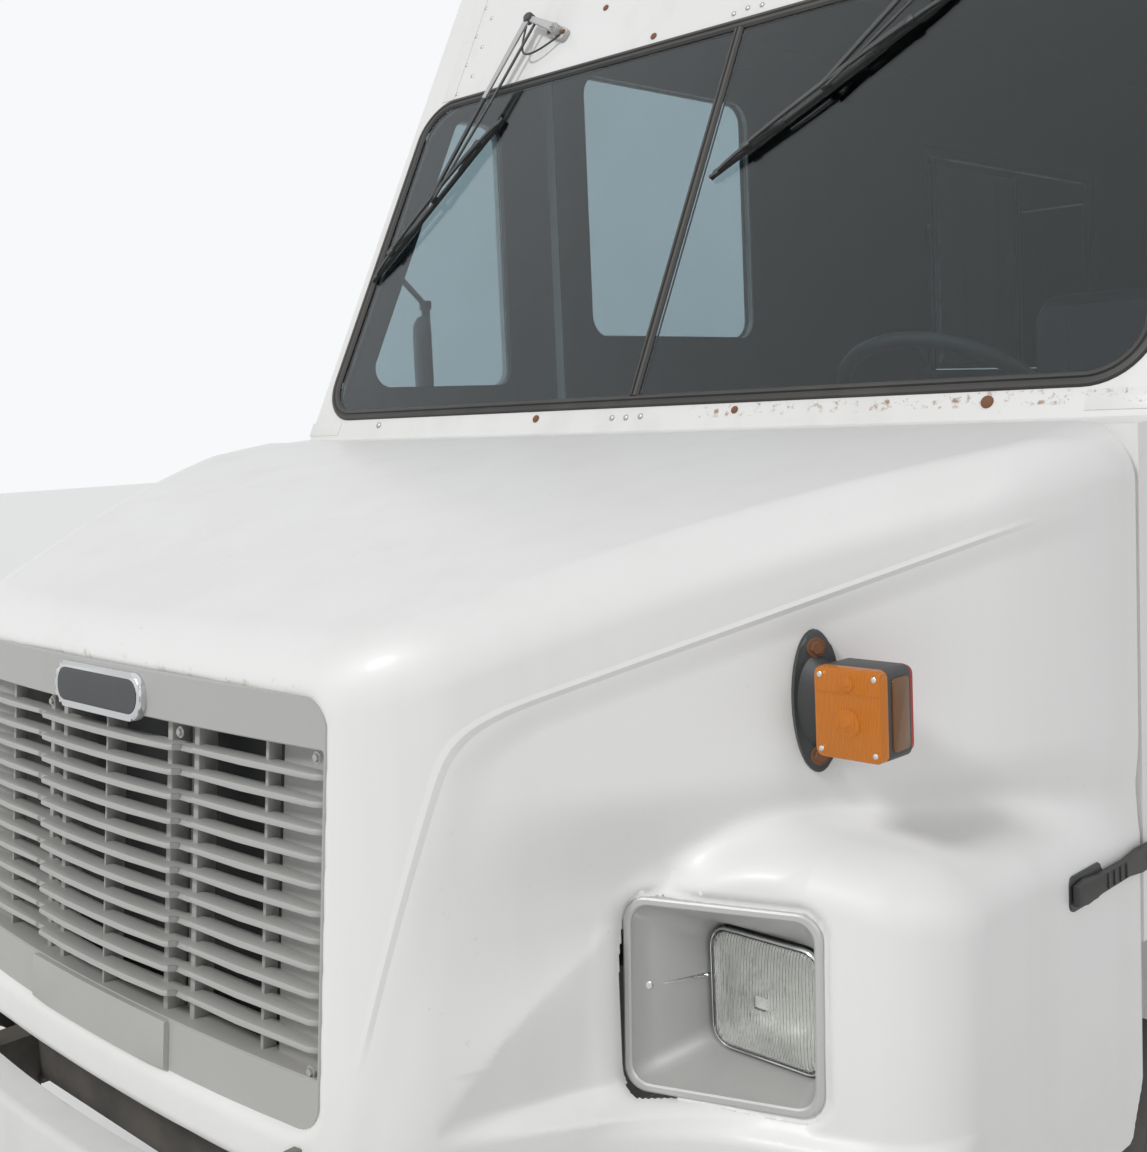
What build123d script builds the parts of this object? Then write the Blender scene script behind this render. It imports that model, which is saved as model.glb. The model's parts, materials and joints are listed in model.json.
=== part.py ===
# Walk-in step van with a sloping tilt hood, fitted out as an ice cream truck.
# Millimetres. +Z up, the nose towards -Y, +X the driver's side.
# The origin is on the ground, under the middle of the vehicle's box.
import math
import os

from build123d import *

os.makedirs("parts", exist_ok=True)

SIDES = (("left", 1), ("right", -1))

# Stations along the vehicle
nose_y = -3500.0            # front of the front bumper
tail_y = 3500.0             # rear of the rear bumper
cowl_y = -2250.0            # lower edge of the windshield
cowl_z = 1620.0
front_axle_y = -1970.0
rear_axle_y = 2030.0

# Body box
body_half = 1056.0          # outer face of the body sides
wall = 40.0
roof_top = 3050.0
roof_radius = 90.0
pillar_radius = 28.0
side_top = 2700.0           # joint between the side panels and the roof shell
roof_joint_drop = 160.0     # joint between the front cap and the roof, below the roof's top
body_bottom = 640.0         # lower edge of the side panels
rear_face_y = 3400.0
floor_top = 900.0
floor_thick = 40.0
floor_half = 955.0

# Windshield: one flat raked plane
rake_run = 392.0
rake_rise = 798.0
cowl_ledge = 152.0          # from the windshield's foot forward to the hood's joint
cowl_drop = 50.0
cowl_band = 42.0            # the raked panel goes on below the windshield's foot by this much
cap_depth = 60.0            # fore and aft depth of the front cap's pillars
glass_half = 1010.0         # half width of the opening in the plane
glass_foot = 2.0            # opening's lower edge, measured up the plane from the cowl line
glass_height = 884.0        # measured up the plane
glass_radius = 105.0
post_half = 12.0            # half width of the centre post
gasket_wide = 26.0
gasket_thick = 16.0
gasket_gap = 0.5
pane_thick = 6.0
pane_gap = 0.2

# Quarter window ahead of each cab door
quarter_front = 150.0       # its front lower corner, behind the cowl line
quarter_rear = 640.0
quarter_low = 80.0          # above the cowl line
quarter_high = 770.0
quarter_radius = 45.0

# Hood
hood_gap = 8.0              # joint between the hood and the body
hood_half = 1050.0
hood_rear_z = 1570.0        # top of the hood at its rear edge
hood_mid = (-2860.0, 1486.0)    # a point half way down the hood's crowned top
hood_front = (-3240.0, 1372.0)  # where the crowned top meets the nose
cheek_rear_y = -2570.0      # where the cheek meets the side
cheek_front_x = 560.0       # where the cheek meets the front face
nose_face_y = -3330.0       # front face at the grille's top ends
nose_bow = 28.0             # how far the front face bows forward at its centre
hood_skin = 8.0
hood_side_bottom = 590.0
nose_bottom = 722.0
top_radius = 60.0
corner_radius = 70.0
fender_front_y = -3003.0   # at the lamp's middle
fender_radius = 70.0
hood_hinge_y = -3405.0
hood_hinge_z = 706.0
hinge_arm_x = 472.0
hinge_pin_r = 9.0
hinge_eye_r = 17.0
hinge_arm_wide = 14.0
lug_gap = 6.0               # between a hinge arm and the lug beside it
lug_thick = 10.0

# Outline of a fender seen from the front: X and Z of its corners, and each corner's radius
FENDER = (
    # x, z, radius
    (605.0, 500.0, 0.0),
    (612.0, 830.0, 120.0),
    (745.0, 1118.0, 150.0),
    (930.0, 1118.0, 120.0),
    (1050.0, 1075.0, 95.0),
    (1050.0, 500.0, 0.0),
)

# Grille
grille_half = 496.0
grille_low = 776.0
grille_high = 1297.0
grille_radius = 40.0
grille_gap = 1.0
grille_band = 64.0
grille_slats = 11
slat_deep = 30.0
slat_thick = 8.0
grille_centre_half = 200.0
grille_sweep = 14.0         # the side sections sweep back by this much
grille_step = 30.0          # the centre section's face stands forward of the ends by this much
grille_lean = 48.0          # how far the bottom stands forward of the top
rib_x = (0.0, 98.0, 196.0, 330.0, 470.0)
rib_thick = 6.0
rib_deep = 24.0

# Lamps
lamp_x = 803.0
lamp_z = 903.0
bezel_wide = 243.0
bezel_high = 231.0
bezel_rim = 8.0
bezel_deep = 125.0
bezel_proud = 4.0
bezel_radius = 26.0
lens_wide = 162.0
lens_high = 146.0
lens_thick = 18.0
lens_radius = 22.0
lens_block = 60.0           # the block behind the lens
lens_x = 822.0
lens_y = -2940.0            # face of the lens, which looks straight ahead
lens_z = 892.0
lamp_yaw = 20.0             # how far the bezel's plane turns outwards
lamp_lean = 4.0             # and how far it leans back
signal_x = 857.0
signal_z = 1254.0
signal_plate = (62.0, 176.0, 12.0)
signal_box = (92.0, 62.0, 108.0)    # X, Y and Z
signal_lens = 12.0          # thickness of the front lens
signal_stalk = 75.0         # from the plate to the box's middle
signal_back = 35.0          # and rearwards along the cheek
latch_z = 985.0
latch_front_y = -2627.0
latch_long = 240.0
latch_off = 11.0            # the strap stands this far off the hood's side

# Wheels and axles
tyre_r = 406.0
tyre_wide = 226.0
tyre_shoulder = 38.0
tyre_bore_r = 252.0
rim_wide = 190.0
rim_lip = 10.0
rim_lip_r = 262.0
rim_thick = 10.0
disc_thick = 14.0
front_disc_x = 945.0
inner_disc_x = 700.0
outer_disc_x = 826.0
front_hub = (832.0, 962.0)
rear_hub = (640.0, 1012.0)
hub_r = 70.0
wheel_centre_x = 900.0
kingpin_x = 745.0
kingpin_r = 20.0
kingpin_gap = 0.4
spindle_r = 34.0
spindle_gap = 0.4
twin_inner_x = 612.0
twin_outer_x = 915.0
arch_r = 510.0
rear_arch_r = 480.0

# Cab doors
door_front_y = -1420.0
door_rear_y = -500.0
door_thick = 34.0
door_gap = 12.0             # between the body wall and the sliding door
door_lap = 30.0             # the door overlaps its opening by this much at each end
door_bottom = 520.0
door_top = 2730.0
door_travel = 860.0
door_window = (90.0, 1830.0, 2560.0)    # inset from the opening's ends, low and high
door_window_radius = 60.0
track_z = 2765.0
track_high = 26.0
track_wide = 42.0
roller_r = 12.0
hanger_inset = 110.0
hanger_wide = 60.0
hanger_thick = 8.0
hanger_foot = 60.0
seat_gap = 0.3

# Entry steps
step_in_x = 640.0
step_z = 470.0
step_thick = 12.0

# Rear doors
rear_open_half = 760.0
rear_open_low = 920.0
rear_open_high = 2640.0
rear_door_thick = 34.0
panel_gap = 6.0
rear_hinge_x = 772.0
rear_hinge_out = 16.0       # hinge axis behind the rear face
rear_hinge_z = (1080.0, 1780.0, 2480.0)
hinge_r = 11.0
pin_r = 6.0
pin_gap = 0.4
hinge_tall = 60.0

# Serving hatch on the curb side
hatch_front_y = 560.0
hatch_rear_y = 1860.0
hatch_low = 1720.0
hatch_high = 2520.0
hatch_thick = 26.0
hatch_gap = 5.0
hatch_hinge_out = 16.0
hatch_hinge_y = (700.0, 1210.0, 1720.0)
shelf_deep = 190.0
shelf_thick = 20.0

# Mirrors
MIRROR_PADS = (
    # the pad as Y and Z, and the height where its arm meets the head's tube
    ((-2110.0, 1660.0), 1640.0),
    ((-1975.0, 2010.0), 1930.0),
)
mirror_head = (1245.0, -1715.0, 1785.0)
mirror_size = (160.0, 236.0, 40.0)
mirror_turn = 33.0
mirror_arm_r = 8.0
mirror_tube_r = 12.0

# Engine and its cover in the cab
tunnel_half = 440.0
tunnel_top = 1380.0
tunnel_long = 520.0         # behind the firewall
cover_thick = 20.0
engine_half = 290.0
engine_low = 690.0
engine_top = 1310.0
engine_front_y = -3120.0
engine_rear_y = -2200.0
gearbox = (150.0, -1500.0, 440.0, 700.0)    # half width, rear end, low and high face
shaft_z = 520.0
shaft_r = 42.0
radiator = (330.0, 56.0, 560.0)     # half width, depth and height
radiator_y = -3258.0

# Frame
rail_x = 430.0
rail_high = 220.0
rail_wide = 75.0
rail_thick = 8.0
rail_top = 790.0
rail_front_y = -3335.0
rail_rear_y = 3360.0
cross_y = (-3300.0, -2450.0, -1300.0, 0.0, 1200.0, 2030.0, 2900.0, 3320.0)
cross_high = 112.0
cross_long = 60.0
spring_half = 600.0
spring_x = 392.0
spring_wide = 70.0
spring_thick = 36.0
front_beam = (330.0, 387.0, 70.0)   # low and high face of the front axle's beam, and its width
rear_tube_r = 60.0
banjo_r = 150.0
bumper_high = 230.0
bumper_top = 684.0
bumper_half = 1040.0
bumper_sweep = 150.0        # how far the ends stand behind the middle
bumper_thick = 55.0
bumper_bracket = (60.0, 100.0, 150.0)   # width, length and height
step_deep = 140.0           # rear step bumper
step_high = 60.0
step_half = 950.0
step_bumper_z = 560.0
plate_spacing = 178.0
plate_hole_r = 3.5
plate_hole_deep = 25.0
sill_y = (-2336.0, -1500.0, -400.0, 300.0, 1000.0, 1500.0, 2570.0, 3300.0)
sill_wide = 50.0

slant = math.hypot(rake_run, rake_rise)
face_high = math.hypot(grille_high - grille_low, grille_lean)
rail_low = rail_top - rail_high
hood_rear_y = cowl_y - cowl_ledge - hood_gap
joint_y = cowl_y - cowl_ledge
inner_half = body_half - wall


def raked_y(z):
    """Y of the windshield's plane at a height."""
    return cowl_y + (z - cowl_z) * rake_run / rake_rise


# Sketch plane on the windshield: X as the vehicle's, Y up the glass, normal forwards.
screen = Plane(origin=(0, cowl_y, cowl_z), x_dir=(1, 0, 0), z_dir=(0, -rake_rise, rake_run))
# Sketch plane on the nose: Y up the face, normal forwards, at the grille's middle.
grille_mid = (grille_low + grille_high) / 2
nose = Plane(
    origin=(0, nose_face_y - grille_lean / 2, grille_mid),
    x_dir=(1, 0, 0),
    z_dir=(0, -(grille_high - grille_low), grille_lean),
)


def finish(part, name):
    part.label = name
    export_step(part, f"parts/{name}.step")


def quarter_points():
    """Corners of a quarter window as Y and Z; its front edge follows the rake."""
    low = cowl_z + quarter_low
    high = cowl_z + quarter_high
    return (
        (cowl_y + quarter_front, low),
        (raked_y(high - quarter_low) + quarter_front, high),
        (cowl_y + quarter_rear, high),
        (cowl_y + quarter_rear, low),
    )


# The body's outer shell, from which the panels are cut
roof_front_y = raked_y(roof_top)
with BuildPart() as shell:
    with BuildSketch(Plane.YZ.offset(-body_half)):
        with BuildLine():
            Polyline(
                (joint_y, body_bottom),
                (joint_y, cowl_z - cowl_drop),
                (raked_y(cowl_z - cowl_band), cowl_z - cowl_band),
                (cowl_y, cowl_z),
                (roof_front_y, roof_top),
                (rear_face_y, roof_top),
                (rear_face_y, body_bottom),
                close=True,
            )
        make_face()
    extrude(amount=2 * body_half)
    top_edges = shell.edges().filter_by(lambda e: abs(e.center().Z - roof_top) < 1)
    fillet(top_edges.filter_by(lambda e: e.center().Y < rear_face_y - 1), radius=roof_radius)
    pillar_edges = shell.edges().filter_by(
        lambda e: abs(abs(e.center().X) - body_half) < 1
        and abs(e.center().Y - raked_y(e.center().Z)) < 1
        and e.length > 500
    )
    fillet(pillar_edges, radius=pillar_radius)
    with BuildSketch(Plane.YZ.offset(-inner_half)):
        with BuildLine():
            Polyline(
                (joint_y + wall, body_bottom - 10),
                (joint_y + wall, cowl_z - cowl_drop - wall),
                (cowl_y + wall, cowl_z - cowl_drop - wall),
                (cowl_y + wall, cowl_z),
                (raked_y(roof_top - wall) + wall, roof_top - wall),
                (rear_face_y - wall, roof_top - wall),
                (rear_face_y - wall, body_bottom - 10),
                close=True,
            )
        make_face()
    extrude(amount=2 * inner_half, mode=Mode.SUBTRACT)

roof_joint_z = roof_top - roof_joint_drop

# Front cap: windshield surround, cowl ledge and firewall
with BuildPart() as front_cap:
    add(shell.part)
    with BuildSketch(Plane.YZ.offset(-body_half - 5)):
        with BuildLine():
            Polyline(
                (joint_y - 20, floor_top - floor_thick),
                (joint_y - 20, cowl_z + 20),
                (raked_y(roof_joint_z) - 60, roof_joint_z),
                (raked_y(roof_joint_z) + cap_depth, roof_joint_z),
                (cowl_y + cap_depth, cowl_z),
                (cowl_y + cap_depth, cowl_z - 2 * cowl_drop),
                (joint_y + wall, cowl_z - 2 * cowl_drop),
                (joint_y + wall, floor_top - floor_thick),
                close=True,
            )
        make_face()
    extrude(amount=2 * body_half + 10, mode=Mode.INTERSECT)
    with BuildSketch(screen.offset(-100)):
        with Locations((0, glass_foot + glass_height / 2)):
            RectangleRounded(2 * glass_half, glass_height, glass_radius)
    extrude(amount=200, mode=Mode.SUBTRACT)
    # the engine bay reaches in through the firewall
    with Locations((0, joint_y + wall / 2, floor_top - floor_thick - 1)):
        Box(
            2 * tunnel_half, 2 * wall, tunnel_top - floor_top + floor_thick + 1,
            align=(Align.CENTER, Align.CENTER, Align.MIN),
            mode=Mode.SUBTRACT,
        )
finish(front_cap.part, "front_cap")

# Gasket: a rubber ring round both panes, with the centre post
with BuildPart() as windshield_gasket:
    with BuildSketch(screen.offset(-gasket_thick / 2 - 4)):
        with Locations((0, glass_foot + glass_height / 2)):
            RectangleRounded(2 * (glass_half - gasket_gap), glass_height - 2 * gasket_gap, glass_radius)
            RectangleRounded(
                2 * (glass_half - gasket_wide),
                glass_height - 2 * gasket_wide,
                glass_radius - gasket_wide,
                mode=Mode.SUBTRACT,
            )
            Rectangle(2 * post_half, glass_height - 2 * gasket_wide)
    extrude(amount=gasket_thick)
finish(windshield_gasket.part, "windshield_gasket")

# Cab glass: two windshield panes and the two quarter panes
with BuildPart() as cab_glass:
    with BuildSketch(screen.offset(-pane_thick / 2 - 4)):
        with Locations((0, glass_foot + glass_height / 2)):
            RectangleRounded(
                2 * (glass_half - gasket_wide - pane_gap),
                glass_height - 2 * (gasket_wide + pane_gap),
                glass_radius - gasket_wide,
            )
            Rectangle(2 * (post_half + pane_gap), glass_height, mode=Mode.SUBTRACT)
    extrude(amount=pane_thick)
    for side_name, side in SIDES:
        with BuildSketch(Plane.YZ.offset(side * (body_half - wall / 2) - pane_thick / 2)) as quarter:
            with BuildLine():
                Polyline(*quarter_points(), close=True)
            make_face()
            fillet(quarter.vertices(), radius=quarter_radius)
        extrude(amount=pane_thick)
finish(cab_glass.part, "cab_glass")

# Cab side panels, from the hood's joint to the door
for side_name, side in SIDES:
    with BuildPart() as cab_side:
        add(shell.part)
        with BuildSketch(Plane.YZ.offset(inner_half if side > 0 else -body_half - 5)):
            with BuildLine():
                Polyline(
                    (joint_y + wall, body_bottom - 20),
                    (joint_y + wall, cowl_z - 2 * cowl_drop),
                    (cowl_y + cap_depth, cowl_z - 2 * cowl_drop),
                    (cowl_y + cap_depth, cowl_z),
                    (raked_y(side_top) + cap_depth, side_top),
                    (door_front_y, side_top),
                    (door_front_y, body_bottom - 20),
                    close=True,
                )
            make_face()
        extrude(amount=wall + 5, mode=Mode.INTERSECT)
        with Locations(Location((side * body_half, front_axle_y, tyre_r), (0, 90, 0))):
            Cylinder(arch_r, 4 * wall, mode=Mode.SUBTRACT)
        with BuildSketch(Plane.YZ.offset(side * (body_half - wall / 2) - wall)) as quarter:
            with BuildLine():
                Polyline(*quarter_points(), close=True)
            make_face()
            fillet(quarter.vertices(), radius=quarter_radius)
        extrude(amount=2 * wall, mode=Mode.SUBTRACT)
    finish(cab_side.part, f"cab_side_{side_name}")

# Body side panels behind the cab doors; the curb side has the serving opening
for side_name, side in SIDES:
    with BuildPart() as side_panel:
        add(shell.part)
        with Locations((side * (body_half - wall / 2 + 5), 0, body_bottom - 10)):
            with Locations((0, (door_rear_y + rear_face_y - wall) / 2, 0)):
                Box(
                    wall + 10,
                    rear_face_y - wall - door_rear_y,
                    side_top - body_bottom + 10,
                    align=(Align.CENTER, Align.CENTER, Align.MIN),
                    mode=Mode.INTERSECT,
                )
        with Locations(Location((side * body_half, rear_axle_y, tyre_r), (0, 90, 0))):
            Cylinder(rear_arch_r, 4 * wall, mode=Mode.SUBTRACT)
        if side < 0:
            with Locations((-body_half, (hatch_front_y + hatch_rear_y) / 2, (hatch_low + hatch_high) / 2)):
                Box(4 * wall, hatch_rear_y - hatch_front_y, hatch_high - hatch_low, mode=Mode.SUBTRACT)
    finish(side_panel.part, f"side_panel_{side_name}")

# Roof shell with its side rails, and the track that each cab door hangs on
with BuildPart() as roof_shell:
    add(shell.part)
    with BuildSketch(Plane.YZ.offset(-body_half - 5)):
        with BuildLine():
            Polyline(
                (raked_y(side_top) + cap_depth, side_top),
                (raked_y(roof_joint_z) + cap_depth, roof_joint_z),
                (raked_y(roof_joint_z) - 60, roof_joint_z),
                (raked_y(roof_joint_z) - 60, roof_top + 10),
                (rear_face_y - wall, roof_top + 10),
                (rear_face_y - wall, side_top),
                close=True,
            )
        make_face()
    extrude(amount=2 * body_half + 10, mode=Mode.INTERSECT)
    track_long = door_rear_y - door_front_y + door_travel
    for side_name, side in SIDES:
        with Locations((side * (inner_half - track_wide / 2), door_front_y + track_long / 2, track_z)):
            Box(track_wide, track_long, track_high, align=(Align.CENTER, Align.CENTER, Align.MIN))
finish(roof_shell.part, "roof_shell")

# Rear frame round the rear doors, with the doors' hinge pins
with BuildPart() as rear_frame:
    add(shell.part)
    with Locations((0, rear_face_y - wall, body_bottom - 10)):
        Box(
            2 * body_half + 10, wall + 10, roof_top,
            align=(Align.CENTER, Align.MIN, Align.MIN),
            mode=Mode.INTERSECT,
        )
    with Locations((0, rear_face_y, (rear_open_low + rear_open_high) / 2)):
        Box(2 * rear_open_half, 4 * wall, rear_open_high - rear_open_low, mode=Mode.SUBTRACT)
    for side_name, side in SIDES:
        for z in rear_hinge_z:
            with Locations((side * rear_hinge_x, rear_face_y + rear_hinge_out, z)):
                Cylinder(pin_r, hinge_tall + 40)
            for end in (-1, 1):
                with Locations((side * (rear_hinge_x + 14), rear_face_y + 14, z + end * (hinge_tall / 2 + 12))):
                    Box(46, 28, 16)
finish(rear_frame.part, "rear_frame")

# Rear doors
for side_name, side in SIDES:
    with BuildPart() as rear_door:
        door_wide = rear_open_half - 1.5 * panel_gap
        with Locations((side * (panel_gap / 2 + door_wide / 2), rear_face_y - rear_door_thick / 2, (rear_open_low + rear_open_high) / 2)):
            Box(door_wide, rear_door_thick, rear_open_high - rear_open_low - 2 * panel_gap)
        for z in rear_hinge_z:
            with Locations((side * rear_hinge_x, rear_face_y + rear_hinge_out, z)):
                Cylinder(hinge_r, hinge_tall)
            with Locations((side * (rear_hinge_x - 40), rear_face_y + 8, z)):
                Box(70, 16, hinge_tall)
            with Locations((side * rear_hinge_x, rear_face_y + rear_hinge_out, z)):
                Cylinder(pin_r + pin_gap, hinge_tall + 2, mode=Mode.SUBTRACT)
        with Locations((side * 60, rear_face_y + 20, 1350)):
            Box(24, 40, 180)
    finish(rear_door.part, f"rear_door_{side_name}")

# Floor with the two entry step wells
floor_front_y = joint_y + wall
with BuildPart() as floor_pan:
    with Locations((0, (floor_front_y + rear_face_y - wall) / 2, floor_top - floor_thick / 2)):
        Box(2 * floor_half, rear_face_y - wall - floor_front_y, floor_thick)
    # the floor meets the side panels behind the doors' pockets and ahead of the doors
    for y0, y1 in ((floor_front_y, door_front_y - door_lap - 10), (door_rear_y + door_travel + 60, rear_face_y - wall)):
        with Locations((0, (y0 + y1) / 2, floor_top - floor_thick / 2)):
            Box(2 * inner_half, y1 - y0, floor_thick)
    # opening over the engine
    with Locations((0, floor_front_y, floor_top - floor_thick / 2)):
        Box(2 * tunnel_half, 2 * tunnel_long, 2 * floor_thick, mode=Mode.SUBTRACT)
    for side_name, side in SIDES:
        well_y = (door_front_y + door_rear_y) / 2
        well_long = door_rear_y - door_front_y - 20
        with Locations((side * (step_in_x + floor_half) / 2, well_y, step_z - step_thick)):
            Box(
                floor_half - step_in_x + 2 * step_thick, well_long + 2 * step_thick, floor_top - step_z + step_thick,
                align=(Align.CENTER, Align.CENTER, Align.MIN),
            )
        with Locations((side * (step_in_x + floor_half) / 2, well_y, step_z)):
            Box(
                floor_half - step_in_x, well_long, floor_top - step_z + 10,
                align=(Align.CENTER, Align.CENTER, Align.MIN),
                mode=Mode.SUBTRACT,
            )
        with Locations((side * (floor_half + 30), well_y, step_z)):
            Box(
                60, well_long + 4 * step_thick, 2 * (floor_top - step_z),
                mode=Mode.SUBTRACT,
            )
finish(floor_pan.part, "floor_pan")

# Cab doors and their glass
for side_name, side in SIDES:
    door_x = side * (inner_half - door_gap - door_thick / 2)
    window_y = (door_front_y + door_rear_y) / 2
    window_long = door_rear_y - door_front_y - 2 * door_window[0]
    window_z = (door_window[1] + door_window[2]) / 2
    window_high = door_window[2] - door_window[1]
    with BuildPart() as cab_door:
        with Locations((door_x, window_y, (door_bottom + door_top) / 2)):
            Box(door_thick, door_rear_y - door_front_y + 2 * door_lap, door_top - door_bottom)
        with BuildSketch(Plane.YZ.offset(door_x - door_thick)):
            with Locations((window_y, window_z)):
                RectangleRounded(window_long, window_high, door_window_radius)
        extrude(amount=2 * door_thick, mode=Mode.SUBTRACT)
        for y in (door_front_y + hanger_inset, door_rear_y - hanger_inset):
            roller_z = track_z + track_high + seat_gap + roller_r
            hanger_x = inner_half - track_wide - 10 - hanger_thick / 2
            with Locations((side * hanger_x, y, door_top - hanger_foot)):
                Box(
                    hanger_thick, hanger_wide, roller_z - door_top + hanger_foot + roller_r,
                    align=(Align.CENTER, Align.CENTER, Align.MIN),
                )
            with Locations((side * (hanger_x + 6), y, door_top - hanger_foot)):
                Box(hanger_thick + 6, hanger_wide, hanger_foot, align=(Align.CENTER, Align.CENTER, Align.MIN))
            with Locations(Location((side * (hanger_x + 20), y, roller_z), (0, 90, 0))):
                Cylinder(roller_r, 40)
    finish(cab_door.part, f"cab_door_{side_name}")
    with BuildPart() as door_glass:
        with BuildSketch(Plane.YZ.offset(door_x - pane_thick / 2)):
            with Locations((window_y, window_z)):
                RectangleRounded(window_long, window_high, door_window_radius)
        extrude(amount=pane_thick)
    finish(door_glass.part, f"door_glass_{side_name}")

# Serving hatch, hinged along its top edge
hatch_mid = ((hatch_front_y + hatch_rear_y) / 2, (hatch_low + hatch_high) / 2)
hatch_hinge = (-body_half - hatch_hinge_out, hatch_high + 6)
with BuildPart() as serving_hatch:
    with Locations((-body_half + hatch_thick / 2, hatch_mid[0], hatch_mid[1])):
        Box(hatch_thick, hatch_rear_y - hatch_front_y - 2 * hatch_gap, hatch_high - hatch_low - 2 * hatch_gap)
    for y in hatch_hinge_y:
        with Locations(Location((hatch_hinge[0], y, hatch_hinge[1]), (90, 0, 0))):
            Cylinder(hinge_r, hinge_tall)
        with Locations((-body_half - 8, y, hatch_hinge[1] - 36)):
            Box(16, hinge_tall, 70)
        with Locations(Location((hatch_hinge[0], y, hatch_hinge[1]), (90, 0, 0))):
            Cylinder(pin_r + pin_gap, hinge_tall + 2, mode=Mode.SUBTRACT)
finish(serving_hatch.part, "serving_hatch")

# Hatch hinge lugs and pins on the body, and the serving shelf under the opening
with BuildPart() as serving_counter:
    for y in hatch_hinge_y:
        with Locations(Location((hatch_hinge[0], y, hatch_hinge[1]), (90, 0, 0))):
            Cylinder(pin_r, hinge_tall + 40)
        for end in (-1, 1):
            with Locations((-body_half - 13, y + end * (hinge_tall / 2 + 12), hatch_hinge[1] + 11)):
                Box(26, 16, 40)
    with Locations((-body_half - shelf_deep / 2, hatch_mid[0], hatch_low - 30)):
        Box(shelf_deep, hatch_rear_y - hatch_front_y, shelf_thick)
    for y in (hatch_front_y + 150, hatch_rear_y - 150):
        with BuildSketch(Plane.XZ.offset(-y)):
            with BuildLine():
                Polyline(
                    (-body_half, hatch_low - 35),
                    (-body_half - shelf_deep + 20, hatch_low - 35),
                    (-body_half, hatch_low - 35 - shelf_deep),
                    close=True,
                )
            make_face()
        extrude(amount=12)
finish(serving_counter.part, "serving_counter")

# Serving window behind the hatch: a frame, one fixed pane and one pane slid open beside it
with BuildPart() as serving_window:
    window_x = -inner_half + 14
    pane_long = (hatch_rear_y - hatch_front_y - 60) / 2
    with Locations((window_x, hatch_mid[0], hatch_mid[1])):
        Box(28, hatch_rear_y - hatch_front_y + 60, hatch_high - hatch_low + 60)
        Box(40, hatch_rear_y - hatch_front_y - 60, hatch_high - hatch_low - 60, mode=Mode.SUBTRACT)
    for off in (-6, 6):
        with Locations((window_x + off, hatch_mid[0] + pane_long / 2, hatch_mid[1])):
            Box(pane_thick, pane_long, hatch_high - hatch_low - 60)
    with Locations((window_x, hatch_mid[0] + 12, hatch_mid[1])):
        Box(22, 24, hatch_high - hatch_low - 60)
finish(serving_window.part, "serving_window")


def lamp_plane(side, inset=0.0):
    """The plane of a fender's front face, turned outwards and leaning back; its normal points forwards."""
    yaw = math.radians(lamp_yaw)
    lean = math.radians(lamp_lean)
    normal = Vector(side * math.sin(yaw) * math.cos(lean), -math.cos(yaw) * math.cos(lean), math.sin(lean))
    origin = Vector(side * lamp_x, fender_front_y, lamp_z) - normal * inset
    return Plane(origin=origin, x_dir=(math.cos(yaw), side * math.sin(yaw), 0), z_dir=normal)


def cheek_plane(side, x, z):
    """The plane of a cheek at a point given by X and Z; its normal points outwards."""
    lean = grille_lean / (grille_high - grille_low)
    face_y = nose_face_y + (z - grille_high) * lean
    share = (hood_half - x) / (hood_half - cheek_front_x)
    y = cheek_rear_y + share * (face_y - cheek_rear_y)
    along = Vector(side * (hood_half - cheek_front_x), cheek_rear_y - face_y, 0).normalized()
    upward = Vector(0, lean * share, 1).normalized()
    normal = along.cross(upward) * side
    return Plane(origin=(side * x, y, z), x_dir=along, z_dir=normal)


def hood_form(inset, reach):
    """The hood's outer form, or its inside when inset; the inside reaches past its open ends."""
    low = hood_side_bottom - reach
    high = hood_rear_z + 60
    lean = grille_lean / (grille_high - grille_low)
    half = hood_half - inset
    rear = hood_rear_y + reach
    with BuildPart() as form:
        for z in (low, high):
            face_y = nose_face_y + (z - grille_high) * lean + inset
            front_x = cheek_front_x - inset * 0.5
            turn_y = cheek_rear_y + inset * 0.6
            with BuildSketch(Plane.XY.offset(z)):
                with BuildLine():
                    ThreePointArc((-front_x, face_y), (0, face_y - nose_bow), (front_x, face_y))
                    Polyline(
                        (front_x, face_y), (half, turn_y), (half, rear),
                        (-half, rear), (-half, turn_y), (-front_x, face_y),
                    )
                make_face()
        loft(ruled=True)
        corners = form.edges().filter_by(
            lambda e: abs(e.center().Z - (low + high) / 2) < 5 and e.center().Y < rear - 50
        )
        fillet(corners, radius=corner_radius - inset)
        with BuildSketch(Plane.YZ.offset(-hood_half - 10)):
            with BuildLine():
                top = ThreePointArc(
                    (hood_front[0], hood_front[1] - inset),
                    (hood_mid[0], hood_mid[1] - inset),
                    (hood_rear_y, hood_rear_z - inset),
                )
                slope = top % 0
                tip_y = nose_face_y - 200
                tip = (tip_y, hood_front[1] - inset - slope.Y / slope.X * (hood_front[0] - tip_y))
                Line(top @ 0, tip)
                Polyline(tip, (tip_y, low), (rear, low), (rear, hood_rear_z - inset), top @ 1)
            make_face()
        extrude(amount=2 * hood_half + 20, mode=Mode.INTERSECT)
        rim = form.edges().filter_by(
            lambda e: e.center().Z > grille_high + 20 and e.center().Y < rear - 5
            and (abs(e.center().X) > 100 or e.center().Y < nose_face_y)
        )
        fillet(rim, radius=top_radius - inset)
    return form.part


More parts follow.
